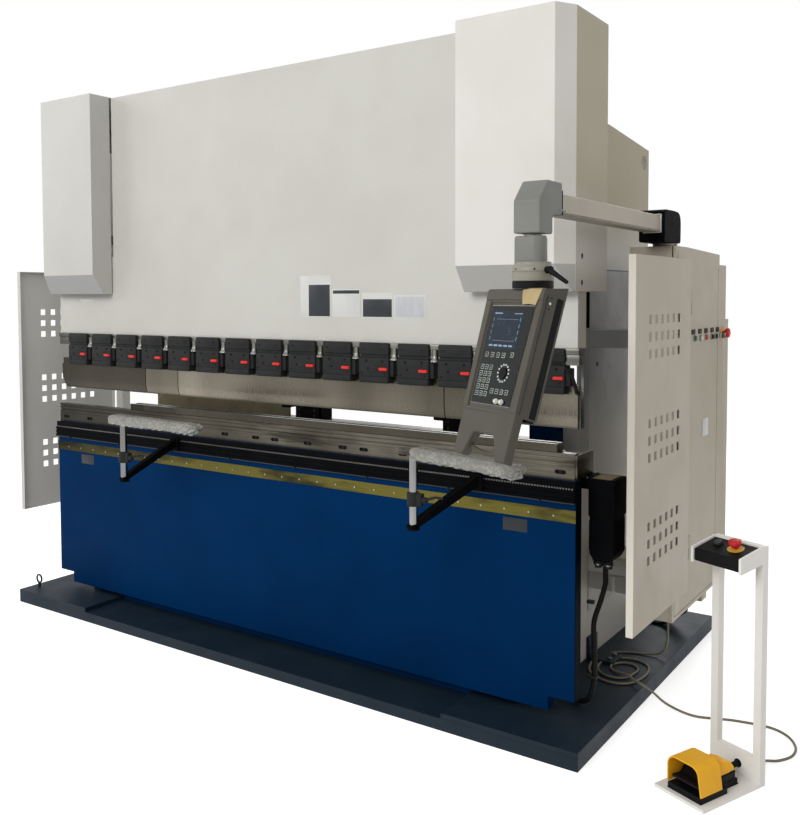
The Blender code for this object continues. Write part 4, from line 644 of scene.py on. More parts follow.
def edged(node, width, finish=None, holes=None):
    """A copy of a CAD node with its doubles merged, its flat faces joined and its edges rounded."""
    source = NODES[node]
    mesh = source.data.copy()
    shape = bmesh.new()
    shape.from_mesh(mesh)
    bmesh.ops.remove_doubles(shape, verts=shape.verts, dist=1e-5)
    bmesh.ops.dissolve_limit(shape, angle_limit=math.radians(0.5), verts=shape.verts, edges=shape.edges)
    for face in shape.faces:
        face.smooth = True
    shape.to_mesh(mesh)
    shape.free()
    mesh.set_sharp_from_angle(angle=math.radians(35))
    thing = bpy.data.objects.new(node + "_skin", mesh)
    bpy.context.scene.collection.objects.link(thing)
    mesh.materials.clear()
    mesh.materials.append(FINISHES[finish or SLOT_OF[node]])
    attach(thing, BODY_OF[node])
    if holes:
        cut(thing, holes)
    round_off(thing, width)
    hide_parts(node)


def cut(thing, shape):
    """Takes a shape away from a piece and keeps the result as its mesh."""
    tool = piece("cutter", shape, "dark_gap")
    take = thing.modifiers.new("cut", "BOOLEAN")
    take.operation, take.solver, take.object = "DIFFERENCE", "EXACT", tool
    bpy.context.view_layer.update()
    seen = thing.evaluated_get(bpy.context.evaluated_depsgraph_get())
    made = bpy.data.meshes.new_from_object(seen)
    thing.modifiers.remove(take)
    old, thing.data = thing.data, made
    bpy.data.meshes.remove(old)
    bpy.data.objects.remove(tool)
    made.shade_smooth()
    made.set_sharp_from_angle(angle=math.radians(35))


def round_off(thing, width, steps=2):
    """Rounds a piece's edges and keeps its flat faces shaded flat."""
    rounding = thing.modifiers.new("rounding", "BEVEL")
    rounding.width = width
    rounding.segments = steps
    rounding.limit_method = "ANGLE"
    rounding.angle_limit = math.radians(30)
    rounding.harden_normals = True


# The two cables come first: their routes repeat the part's source

def cable(name, points, spacing, radius, sides, finish, node, ribbed=False, angle=35.0):
    """A cord along a smooth route through the points, thinner at every third ring where it is ribbed."""
    path = smooth_route(points, spacing)
    rings = radius - 0.0016 * (np.arange(len(path)) % 3 == 0) if ribbed else radius
    cord = piece(name, swept(path, rings, sides), finish, angle=angle, node=node)


def cables():
    """The pedal's free cable, with its loose turns on the platform, and the crowning motor's conduit."""
    radius, gap, height = 0.005, 0.0003, 0.053
    stand_depth, gland_reach = 0.329, 0.01
    gland_end = stand_depth / 2 + gland_reach
    start = STAND @ Vector((0.03 - 3 * radius, gland_end + gap, height))
    ahead = STAND.to_3x3() @ Vector((0.0, 1.0, 0.0))
    floor = radius + gap
    deck = PAD_TOP + radius + gap
    over = deck + radius * 2.7
    cabinet_bottom, cabinet_gland = 0.37, 0.018
    drop = cabinet_bottom - cabinet_gland - gap
    points = [
        tuple(start), tuple(start + ahead * 0.022), tuple(start + ahead * 0.05 - Vector((0, 0, 0.016))),
        (2.257, -0.138, floor + 0.007), (2.29, -0.1, floor + 0.001), (2.322, -0.035, floor),
        (2.318, 0.045, floor), (2.272, 0.122, floor), (2.195, 0.158, floor), (2.07, 0.142, floor),
        (1.99, 0.112, floor), (1.925, 0.092, floor), (1.86, 0.1, floor + 0.002),
        (1.79, 0.112, floor + 0.016), (1.742, 0.1, deck - 0.018), (1.702, 0.078, over),
        (1.662, 0.1, over), (1.62, 0.138, over), (1.575, 0.166, deck + 0.004),
        (1.526, 0.19, deck + 0.001), (1.508, 0.238, deck), (1.536, 0.284, deck), (1.588, 0.292, deck),
        (1.624, 0.25, deck), (1.622, 0.185, deck), (1.604, 0.132, deck), (1.558, 0.11, deck),
        (1.5, 0.128, deck), (1.462, 0.19, deck), (1.462, 0.27, deck), (1.506, 0.332, deck),
        (1.576, 0.354, deck), (1.64, 0.322, deck), (1.67, 0.25, deck), (1.668, 0.165, deck),
        (1.648, 0.098, deck), (1.604, 0.062, deck), (1.54, 0.06, deck), (1.468, 0.1, deck),
        (1.427, 0.18, deck), (1.42, 0.28, deck), (1.452, 0.368, deck), (1.52, 0.424, deck),
        (1.598, 0.446, deck + 0.002), (1.656, 0.452, deck + 0.016), (1.69, 0.44, deck + 0.066),
        (GLAND_X, 0.425, deck + 0.15), (GLAND_X, 0.425, drop),
    ]
    cable("pedal_flex", points, 0.006, radius, 12, "cable_grey", "pedal_cable")
    motor_x, motor_y = 1.657, -0.225
    thick = 0.011
    motor_bottom, motor_foot = 0.7, 0.035
    foot = motor_bottom - motor_foot - gap
    level = PAD_TOP + thick + gap
    points = [
        (motor_x, motor_y, foot - gap), (motor_x, motor_y, foot - 0.04),
        (motor_x - 0.001, motor_y - 0.001, foot - 0.075), (1.645, -0.242, 0.53),
        (1.625, -0.262, 0.44), (1.628, -0.262, 0.33),
        (1.625, -0.255, 0.22), (1.6, -0.24, 0.13), (1.56, -0.22, level + 0.012),
        (1.51, -0.185, level + 0.002), (1.47, -0.17, level + 0.001),
        (1.43, -0.166, level), (FRAME_OUTER + 2 * gap, -0.166, level),
    ]
    cable(
        "motor_conduit", points, 0.0018, thick, 14, "cable_black", "motor_cable",
        ribbed=True, angle=60.0,
    )


# Pieces

def socket_screw(radius, height, sides=14):
    """A cylinder head screw seen from the front: a short disc with a round socket sunk in its face."""
    profile = [
        (-height, radius), (height * 0.85, radius), (height, radius * 0.9), (height, radius * 0.55),
        (height * 0.1, radius * 0.5),
    ]
    return turned(profile, ORIGIN, FRONT, sides)


def pill(length, width, depth):
    """A flat shape with two round ends, long along X and lying in the XZ plane, as a slab along Y."""
    turn = np.linspace(-math.pi / 2, math.pi / 2, 7)
    right = np.stack([(length - width) / 2 + width / 2 * np.cos(turn), width / 2 * np.sin(turn)], 1)
    return slab(np.vstack([right, -right]), "Y", -depth / 2, depth / 2)


def rows_at(xs, y=0.0, z=0.0):
    """Places along X at one Y and Z."""
    return [(x, y, z) for x in xs]


def plain_nodes():
    """The CAD nodes whose own shape stays: each gets rounded edges and its finish."""
    widths = {
        "bed_front_plate": 0.003, "base_platform": 0.002, "bed_beam": 0.003,
        "left_side_frame": 0.003, "right_side_frame": 0.003, "oil_tank": 0.006,
        "rear_tie_beam": 0.006, "left_cylinder": 0.003, "right_cylinder": 0.003,
        "bottom_die": 0.0008, "support_rail": 0.0008, "brass_strip": 0.0005,
        "left_guard_post": 0.003, "pendant_base": 0.001, "clamp_lever": 0.001,
        "left_support_arm": 0.002, "right_support_arm": 0.002,
        "backgauge_rails": 0.003, "backgauge_beam": 0.003,
        "backgauge_left_housing": 0.004, "backgauge_right_housing": 0.004,
        "backgauge_left_finger": 0.002, "backgauge_right_finger": 0.002,
        "stand_box": 0.005, "pedal_base": 0.004, "pedal_gland": 0.001,
    }
    for node, width in widths.items():
        edged(node, width)
    edged("arm_beam", 0.005, "beam_paint")
    edged("cabinet_body", 0.002, "cabinet_shaded_paint")
    edged("stand_frame", 0.0012, "stand_paint")
    edged("ram_plate", 0.004, "ram_shaded_white")
    edged("left_guard", 0.0006, "guard_grey")
    edged("right_guard", 0.0006, "cabinet_shaded_paint")


def covers():
    """The cylinder covers, with two upright slots in each outer side near the slanted lip."""
    turn = Matrix.Rotation(math.radians(90), 4, "Z") @ Matrix.Rotation(math.radians(90), 4, "Y")
    hole = moved(pill(0.0225, 0.0185, 0.03), turn)
    plug = moved(pill(0.0223, 0.0183, 0.0016), turn)
    for side, name, finish in ((-1, "left", "left_cover_shaded_white"), (1, "right", "white_paint")):
        node = name + "_cylinder_cover"
        edged(node, 0.0015, finish, stamped(hole, [(side * 1.603, -0.35, z) for z in COVER_SLOTS]))
        # Painted shade: dark plates sunk in the slots stand for the shade inside the cover.
        fills = stamped(plug, [(side * 1.601, -0.35, z) for z in COVER_SLOTS])
        piece(node + "_slots", fills, "dark_gap", slot="white_paint")


def clamps():
    """The steel carrier, fifteen black clamps with red levers, and the steel spacers between them."""
    one = merged(
        block((-0.08, -0.3845, 1.477), (0.08, -0.35, 1.5285), 0.005, 3),
        block((-0.06, -0.3852, 1.486), (0.06, -0.38, 1.519), 0.0006),
        block((-0.077, -0.376, 1.452), (0.077, -0.322, 1.486), 0.002),
        block((-0.08, -0.384, 1.379), (0.08, -0.326, 1.4635), 0.004, 3),
        block((-0.02, -0.3856, 1.404), (0.028, -0.38, 1.4275), 0.0008),
        block((0.074, -0.374, 1.383), (0.099, -0.33, 1.453), 0.004),
        block((-0.081, -0.3868, 1.3519), (0.079, -0.3215, 1.3812), 0.007, 3),
    )
    row = rows_at(CLAMPS)
    piece("clamp_bodies", stamped(one, row), "clamp_black", "ram", node="clamp_row")
    carrier = merged(
        block((-1.6, -0.372, 1.5065), (1.6, -0.311, 1.5288), 0.001),
        block((-1.6, -0.366, 1.4645), (1.6, -0.311, 1.5048), 0.001),
    )
    piece("clamp_carrier", carrier, "zinc", "ram", "tool_steel")
    seam = block((-1.598, -0.364, 1.5), (1.598, -0.32, 1.512), 0.001)
    piece("carrier_seam", seam, "dark_gap", "ram", "clamp_black")
    flare = [
        (0.0, 0.0235), (0.006, 0.022), (0.012, 0.0165), (0.024, 0.014), (0.04, 0.0135), (0.052, 0.015),
    ]
    foot = turned(flare, (0.0, -0.366, 1.4555), UP, 20)
    gaps = rows_at((CLAMPS[:-1] + CLAMPS[1:]) / 2)
    piece("clamp_spacers", stamped(foot, gaps), "zinc", "ram", "tool_steel")
    lever = block((0.034, -0.396, 1.408), (0.077, -0.38, 1.4212), 0.0035, 3)
    piece("clamp_levers", stamped(lever, row), "grip_red", "ram", "stop_red")
    spots = [
        (-0.052, 1.503, 0.0042), (0.046, 1.503, 0.0042), (-0.04, 1.449, 0.0055), (0.046, 1.449, 0.0055),
        (-0.03, 1.4165, 0.0045), (-0.064, 1.394, 0.0032), (0.06, 1.394, 0.0032),
    ]
    heads = merged(*[stamped(socket_screw(radius, 0.0014), [(x, -0.3846, z)]) for x, z, radius in spots])
    piece("clamp_screws", stamped(heads, row), "dark_gap", "ram", "clamp_black")


def punch():
    """The upper tool in four lengths: an upright face, a bevelled tip, and a tang between the clamps."""
    section = np.array([
        (-0.3495, 1.3513), (-0.3495, 1.27), (-0.344, 1.234), (-0.3375, 1.2165), (-0.3345, 1.2165),
        (-0.33, 1.238), (-0.3225, 1.275), (-0.3225, 1.3513), (-0.329, 1.3513), (-0.329, 1.386),
        (-0.343, 1.386), (-0.343, 1.3513),
    ])
    joints = [-1.6066, -0.8883, -0.6384, 0.985, 1.5905]
    half_joint, tang_top = 0.0022, 1.38
    lengths = []
    for low, high in zip(joints[:-1], joints[1:]):
        start = np.full(len(section), low + half_joint)
        if low == joints[0]:
            start += np.clip((1.272 - section[:, 1]) * 0.55, 0.0, 0.02)
        start[section[:, 1] > tang_top] += 0.002
        ends = np.full(len(section), high - half_joint)
        lengths.append(tube(np.stack([np.column_stack([edge, section]) for edge in (start, ends)])))
    piece("punch_lengths", merged(*lengths), "tool_steel", "ram", rounded=0.0005, node="upper_punch")
    core = block((-1.595, -0.3435, 1.238), (1.588, -0.33, 1.349), 0.001)
    piece("punch_joints", core, "dark_gap", "ram", "tool_steel")


def table():
    """The crowning table: ridges along its face, oval slots with bolts, and grooves along its top."""
    front, back, slot_level = -0.372, -0.207, 1.0495
    face = [
        (1.02, 0.0), (1.071, 0.0), (1.0714, 0.0022), (1.074, 0.0022), (1.0744, 0.0), (1.0865, 0.0),
        (1.087, 0.0075), (1.094, 0.0075), (1.0945, 0.0), (1.1055, 0.0), (1.106, 0.006),
        (1.1125, 0.006), (1.113, 0.0), (1.1222, 0.0), (1.123, 0.0008),
    ]
    outline = [(front + deep, z) for z, deep in face] + [
        (-0.3345, 1.123), (-0.334, 1.1222), (-0.334, 1.0953), (-0.298, 1.0953), (-0.298, 1.091),
        (-0.291, 1.091), (-0.291, 1.0953), (back - 0.0008, 1.0953), (back, 1.0945), (back, 1.02),
    ]
    beam = piece("table_bar", slab(outline, "X", -1.6, 1.587), "table_steel")
    cut(beam, stamped(pill(0.048, 0.0165, 0.016), rows_at(TABLE_SLOTS, front, slot_level)))
    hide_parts("crowning_table")
    bolts = stamped(socket_screw(0.0068, 0.004), rows_at(TABLE_SLOTS, front + 0.0055, slot_level))
    piece("table_bolts", bolts, "clamp_black")
    holder = merged(
        block((-0.994, -0.3338, 1.095), (1.509, -0.3035, 1.1229), 0.0012),
        block((-0.994, -0.303, 1.0955), (1.509, -0.296, 1.106), 0.0012),
    )
    piece("die_holder", holder, "table_steel")
    rod = bar((-0.99, -0.3005, 1.1165), (1.5165, -0.3005, 1.1165), 0.0055)
    piece("die_rod", rod, "bright_zinc", slot="table_steel")
    piece("table_end_plate", block((1.5872, -0.37, 1.021), (1.5965, -0.21, 1.118), 0.001), "table_steel")
    # Painted shade: dark plates on the slots' floors stand for the shade in the recesses.
    floors = stamped(pill(0.0478, 0.0163, 0.001), rows_at(TABLE_SLOTS, front + 0.0074, slot_level))
    piece("table_slot_floors", floors, "dark_gap", slot="table_steel")


def rail():
    """What sits on the support rail: its rack and pins, and the strip and knobs below."""
    tooth = slab(
        [(-0.4045, 0.9902), (-0.4045, 0.9935), (-0.4025, 0.9955), (-0.3985, 0.9955), (-0.3972, 0.9902)],
        "X", -0.003, 0.003,
    )
    teeth = stamped(tooth, rows_at(np.arange(-1.59, 1.591, 0.012)))
    piece("rail_rack", teeth, "zinc", slot="rail_black")
    lip = [
        (-0.3971, 1.0), (-0.3971, 1.0045), (-0.3935, 1.0045), (-0.3935, 1.0131), (-0.3876, 1.0131),
        (-0.3876, 1.0),
    ]
    piece("rail_lip", slab(lip, "X", -1.599, 1.599), "rail_black")
    piece("rail_cover", block((-1.599, -0.3985, 1.009), (1.599, -0.3726, 1.0196), 0.001), "rail_black")
    pin = turned([(0, 0.003), (0.009, 0.003), (0.01, 0.0024)], (0.0, -0.39, 1.0125), UP, 10)
    piece("rail_pins", stamped(pin, rows_at(0.3774 + 0.1035 * np.arange(-18, 12))), "clamp_black")
    strip = [(-0.4035, 0.9386), (-0.4035, 0.9342), (-0.3876, 0.9342), (-0.3876, 0.9386)]
    piece("rail_strip", slab(strip, "X", -1.598, 1.598), "plate_dark", slot="table_steel")
    knob = turned([(0, 0.005), (0.007, 0.005), (0.009, 0.0036)], (0.0, -0.403, 0.935), FRONT, 12)
    piece("rail_knobs", stamped(knob, rows_at(np.arange(-1.47, 1.5, 0.418))), "clamp_black")
    places = rows_at(0.0026 + 0.1075 * np.arange(-14, 15), -0.3905, 0.8795)
    piece("strip_screws", stamped(socket_screw(0.0034, 0.0014), places), "bright_zinc", slot="brass")
    piece("strip_fold", block((-1.599, -0.3906, 0.8905), (1.599, -0.389, 0.893), 0.0004), "brass")


def plates(fields, y, proud, radius=0.0006):
    """Flat plates on an upright face at y: each field gives the low and high corners in X and Z."""
    return merged(*[block((a, y - proud, b), (c, y + 0.001, d), radius) for a, b, c, d in fields])


def blank_plates():
    """Bare plates on the ram and the bed where the machine carries its signs."""
    pale = (
        (0.211, 1.636, 0.392, 1.829), (0.398, 1.638, 0.559, 1.765), (0.567, 1.636, 0.7345, 1.747),
        (0.74, 1.635, 0.9045, 1.738),
    )
    dark = ((0.262, 1.642, 0.386, 1.786), (0.573, 1.642, 0.729, 1.72), (0.404, 1.745, 0.553, 1.76))
    panel = ((0.748, 1.6425, 0.897, 1.7305),)
    low = ((-1.393, 0.794, -1.285, 0.846), (1.286, 0.794, 1.394, 0.846))
    small = ((-1.414, 1.7085, -1.308, 1.725),)
    piece("ram_plates", plates(pale, RAM_FRONT, 0.0012), "plate_pale", "ram", "white_paint")
    piece("ram_plate_fields", plates(dark, RAM_FRONT, 0.0018), "plate_dark", "ram", "black_plastic")
    piece("ram_plate_panel", plates(panel, RAM_FRONT, 0.0018), "frame_paint", "ram")
    piece("bed_plates", plates(low, BED_FRONT, 0.0012), "plate_dark", slot="black_plastic")
    piece("ram_small_plate", plates(small, RAM_FRONT, 0.001, 0.0005), "plate_pale", "ram", "white_paint")


def controller():
    """The control: a shell with a hood and rails round a sunk glass panel, a band per side, and a grip."""
    front, back = -0.0425, 0.0425
    face = front + 0.0006
    middle = -0.0454
    part = maker(CONTROL, "pendant_head")

    def plate(outline, low, high):
        """An outline seen from the front, thick from low to high."""
        return slab(outline, "Y", low, high)

    def both_sides(outline, low, high):
        """A plate at the right and its mirror image at the left."""
        return merged(plate(outline, low, high), plate([(middle - x, z) for x, z in outline], low, high))

    shell = plate([(-0.1592, 0.03), (0.1138, 0.03), (0.1056, -0.4), (-0.151, -0.4)], front, back)
    body = part("control_shell", shell, "control_paint")
    above = block((1.4, -1.4, 1.753), (2.1, -0.8, 1.9), 0.0)
    pocket = [(-0.13, -0.056), (0.088, -0.056), (0.0762, -0.388), (-0.128, -0.388)]
    groove = [(0.11, -0.028), (0.15, -0.028), (0.15, -0.395), (0.1025, -0.395)]
    hollows = merged(plate(pocket, front - 0.01, front + 0.0035), both_sides(groove, 0.0095, 0.035))
    cut(body, merged(above, moved(hollows, CONTROL)))
    round_off(body, 0.004, 3)
    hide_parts("control_box")
    band = [(0.109, -0.029), (0.1122, -0.029), (0.1046, -0.394), (0.101, -0.394)]
    tail = block((-0.144, 0.01, -0.407), (0.0985, 0.04, -0.39), 0.003)
    part("control_bands", merged(both_sides(band, 0.01, 0.0345), tail), "black_plastic")
    legs = [
        (-0.1512, -0.3925), (0.1058, -0.3925), (0.1046, -0.45), (0.1032, -0.54), (0.06, -0.54),
        (0.0545, -0.533), (0.03, -0.472), (0.0225, -0.465), (-0.068, -0.465), (-0.0755, -0.472),
        (-0.1, -0.533), (-0.1055, -0.54), (-0.1488, -0.54), (-0.15, -0.45),
    ]
    part("control_legs", plate(legs, front, front + 0.034), "control_paint", rounded=0.005, steps=3)
    arc = [
        (-0.115, -0.024, -0.498), (-0.09, -0.018, -0.51), (-0.056, -0.013, -0.518),
        (-0.0227, -0.011, -0.5205), (0.0106, -0.013, -0.518), (0.0446, -0.018, -0.51),
        (0.07, -0.024, -0.498),
    ]
    part("control_grip", swept(smooth_route(arc, 0.006), 0.0075, 14), "control_paint")
    brow = [
        (-0.0462, -0.0468), (-0.0462, -0.018), (-0.043, -0.0132), (-0.03, -0.009), (-0.03, -0.044),
        (-0.0425, -0.05),
    ]
    left_rail = [(-0.1588, -0.049), (-0.1325, -0.049), (-0.13, -0.391), (-0.151, -0.391)]
    right_rail = [(0.0905, -0.049), (0.113, -0.049), (0.1055, -0.391), (0.0785, -0.391)]
    rails = [plate(outline, front - 0.0022, front + 0.004) for outline in (left_rail, right_rail)]
    part("control_trim", merged(slab(brow, "X", -0.1588, 0.1134), *rails), "control_paint", rounded=0.0016)
    line = [(0.1125, -0.03), (0.1145, -0.03), (0.107, -0.392), (0.1048, -0.392)]
    part("control_side_line", plate(line, -0.029, -0.027), "plate_dark", "control_paint")
    rim = [(-0.1236, -0.065), (0.0803, -0.065), (0.0674, -0.377), (-0.1203, -0.377)]
    part("control_rim", plate(rim, front + 0.0016, front + 0.0045), "zinc", "control_paint")
    glass = [(-0.1222, -0.0668), (0.0788, -0.0668), (0.066, -0.3752), (-0.1188, -0.3752)]
    part("control_glass", plate(glass, face, front + 0.004), "dark_glass", "black_plastic")
    display = [(-0.1085, -0.083), (0.042, -0.083), (0.0385, -0.204), (-0.107, -0.204)]
    part("control_screen", plate(display, face - 0.0003, face + 0.001), "screen_blue", "black_plastic")
    levels = (-0.104, -0.124, -0.144, -0.164)
    lines = [(-0.1, -0.0925, -0.062, -0.0885), (-0.004, -0.0925, 0.034, -0.09)]
    lines += [(-0.1, z, -0.0985, z - 0.012) for z in levels]
    lines += [(0.028, z, 0.03, z - 0.012) for z in levels]
    lines += [(-0.096 + 0.024 * k, -0.19, -0.078 + 0.024 * k, -0.1955) for k in range(5)]
    lines += [(-0.086, -0.109, 0.02, -0.1098), (-0.086, -0.177, 0.02, -0.1778)]
    marks = [block((a, face - 0.0006, b), (c, face, d), 0.0002, 1) for a, b, c, d in lines]
    part("control_screen_marks", merged(*marks), "screen_light", "black_plastic")
    spots = [(-0.0935 + 0.0272 * k, -0.2225) for k in range(4)] + [(0.0275, -0.219)]
    spots += [(-0.1015 + 0.0215 * k, -0.262 - 0.0208 * row) for k in range(3) for row in range(5)]
    spots += [(-0.029 + 0.0232 * k, -0.334) for k in range(4)]
    places = [(x, face, z) for x, z in spots]
    for name, finish, half_width, half_height, proud, radius in (
        ("control_key_rims", "key_pale", 0.0075, 0.0076, 0.001, 0.0008),
        ("control_keys", "dark_glass", 0.006, 0.0061, 0.0014, 0.0006),
        ("control_key_pips", "key_pale", 0.0022, 0.0016, 0.0017, 0.0003),
    ):
        key = block((-half_width, -proud, -half_height), (half_width, 0.001, half_height), radius)
        part(name, stamped(key, places), finish, "black_plastic")
    dial_x, dial_z = 0.0061, -0.2768
    turn = np.arange(14) * 2 * math.pi / 14
    around = [(dial_x + 0.0245 * math.cos(a), face, dial_z + 0.0265 * math.sin(a)) for a in turn]
    tick = block((-0.0034, -0.0012, -0.003), (0.0034, 0.001, 0.003), 0.0006)
    part("control_dial_ring", stamped(tick, around), "key_pale", "black_plastic")
    profile = [(0, 0.0175), (0.003, 0.0175), (0.0045, 0.016), (0.004, 0.006)]
    part("control_dial", turned(profile, (dial_x, face, dial_z), FRONT, 28), "black_plastic")
    profile = [(0, 0.0085), (0.004, 0.0085), (0.0046, 0.0066), (0.009, 0.0062), (0.01, 0.005)]
    knobs = stamped(turned(profile, ORIGIN, FRONT, 18), [(0.0052, face, -0.364), (0.03, face, -0.3642)])
    part("control_knobs", knobs, "button_white", "black_plastic")
    hole = turned([(-0.004, 0.0023), (0.0006, 0.0023), (0.0009, 0.0012)], ORIGIN, OUT, 12)
    holes = stamped(hole, [(0.11294, -0.0134, -0.0334), (0.11224, -0.0152, -0.0676)])
    part("control_side_holes", holes, "dark_gap", "black_plastic")
    profile = [(-0.003, 0.0042), (0.0008, 0.0042), (0.0012, 0.003)]
    port = turned(profile, (0.11257, -0.0148, -0.0515), OUT, 14)
    part("control_side_port", port, "washer_white", "control_paint")
    tape = [
        (0.0136, -0.016), (0.06, -0.015), (0.101, -0.0162), (0.094, -0.04), (0.0875, -0.0645),
        (0.056, -0.061), (0.0265, -0.063), (0.019, -0.04),
    ]
    fold = [
        (-0.047, -0.015), (-0.0436, -0.0112), (-0.03, -0.0072), (-0.03, -0.0095), (-0.044, -0.015),
    ]
    strips = merged(plate(tape, -0.047, -0.0455), slab(fold, "X", 0.015, 0.099))
    part("control_tape", strips, "masking_tape", "control_paint")


def pendant():
    """The arm's black C-shaped knuckle with its liner, the beam's lip and latch, and the swivel."""
    outline = [
        (0.004, 1.9488), (0.188, 1.9488), (0.198, 1.953), (0.202, 1.963), (0.203, 2.03),
        (0.199, 2.052), (0.188, 2.068), (0.168, 2.0765), (0.12, 2.079), (0.01, 2.0775),
        (-0.003, 2.071), (-0.0035, 1.956),
    ]
    knuckle = piece("knuckle_shell", slab(outline, "X", 1.7, 1.8065), "rail_black", "pendant_arm")
    cut(knuckle, block((1.718, -0.03, 1.9835), (1.7935, 0.1945, 2.06), 0.0))
    round_off(knuckle, 0.005, 3)
    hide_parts("arm_knuckle")
    low, high = (1.7188, -0.0095, 1.9842), (1.793, 0.03, 2.0594)
    liner = merged(
        block(low, (1.7262, 0.03, 2.0594), 0.0008), block((1.7885, -0.0095, 1.9842), high, 0.0008),
        block(low, (1.793, 0.03, 1.9875), 0.0008), block((1.7188, -0.0095, 2.0562), high, 0.0008),
    )
    piece("knuckle_liner", liner, "washer_white", "pendant_arm", "arm_paint")
    cap = turned([(0, 0.016), (0.003, 0.016), (0.005, 0.012), (0.004, 0.006)], (1.752, 0.15, 2.0775), UP)
    piece("knuckle_cap", cap, "clamp_black", "pendant_arm", "rail_black")
    bend = [
        (-1.136, 1.9205), (-1.0445, 1.9205), (-1.0445, 1.97), (-1.04, 1.98), (-1.03, 1.9835),
        (-0.9748, 1.9835), (-0.9748, 2.0845), (-1.076, 2.0845), (-1.136, 2.021),
    ]
    elbow = slab(bend, "X", 1.711, 1.801)
    piece("elbow_shell", elbow, "arm_paint", "pendant_arm", rounded=0.006, steps=3, node="arm_elbow")
    lip = merged(
        block((1.7262, -0.968, 1.9865), (1.7885, -0.012, 1.9912), 0.001),
        block((1.7872, -0.968, 1.993), (1.7886, -0.012, 1.995), 0.0006),
    )
    piece("beam_lip", lip, "beam_shade", "pendant_arm", "arm_paint")
    latch = merged(
        bar((1.7885, -0.99, 1.9985), (1.802, -0.99, 1.9985), 0.0065, 14),
        bar((1.8, -0.99, 1.9985), (1.804, -0.962, 1.9965), 0.0035, 10),
        block((1.786, -0.984, 1.9945), (1.796, -0.95, 2.001), 0.001),
    )
    piece("beam_latch", latch, "zinc", "pendant_arm", "arm_paint")
    seam = block((1.71, -0.9748, 1.983), (1.8018, -0.9738, 2.06), 0.0003)
    piece("elbow_seam", seam, "dark_gap", "pendant_arm", "arm_paint")
    swivel()


def swivel():
    """The swivel over the control: a block and a stem, a washer, a stepped flange, a ring and screws."""
    x, y = 1.756, -1.09
    stem = [(0, 0.03), (0.002, 0.031), (0.084, 0.031), (0.0855, 0.029)]
    column = merged(
        block((x - 0.0435, y - 0.045, 1.828), (x + 0.03, y + 0.0445, 1.9135), 0.008, 4),
        turned(stem, (x + 0.0175, y - 0.014, 1.828), UP, 28),
    )
    piece("swivel_block", column, "arm_paint", "pendant_head")
    washer = turned([(0, 0.027), (0.0062, 0.027)], (x, y, 1.9133), UP, 28)
    piece("swivel_washer", washer, "washer_white", "pendant_head", "arm_paint")
    steps = [
        (0, 0.062), (0.002, 0.064), (0.026, 0.064), (0.0275, 0.0622), (0.029, 0.0622),
        (0.0305, 0.064), (0.039, 0.0632), (0.045, 0.0606), (0.049, 0.057), (0.0565, 0.056),
        (0.059, 0.052),
    ]
    flange = turned(steps, (x, y, 1.7765), UP, 48)
    piece("swivel_flange", flange, "flange_grey", "pendant_head", "arm_paint", node="swivel_collar")
    steps = [(0, 0.061), (0.0015, 0.0632), (0.021, 0.0632), (0.0222, 0.061)]
    piece("swivel_ring", turned(steps, (x, y, 1.7541), UP, 48), "black_plastic", "pendant_head")
    heads = []
    upper, lower = 1.812, 1.795
    for angle, z in ((-118, upper), (-150, lower), (-60, upper), (-10, lower), (80, lower), (150, upper)):
        way = Vector((math.cos(math.radians(angle)), math.sin(math.radians(angle)), 0.0))
        at = Vector((x, y, z)) + way * 0.0622
        heads.append(turned([(-0.004, 0.0032), (0.0016, 0.0032), (0.0022, 0.0018)], at, way, 12))
    piece("swivel_screws", merged(*heads), "dark_gap", "pendant_head", "arm_paint")


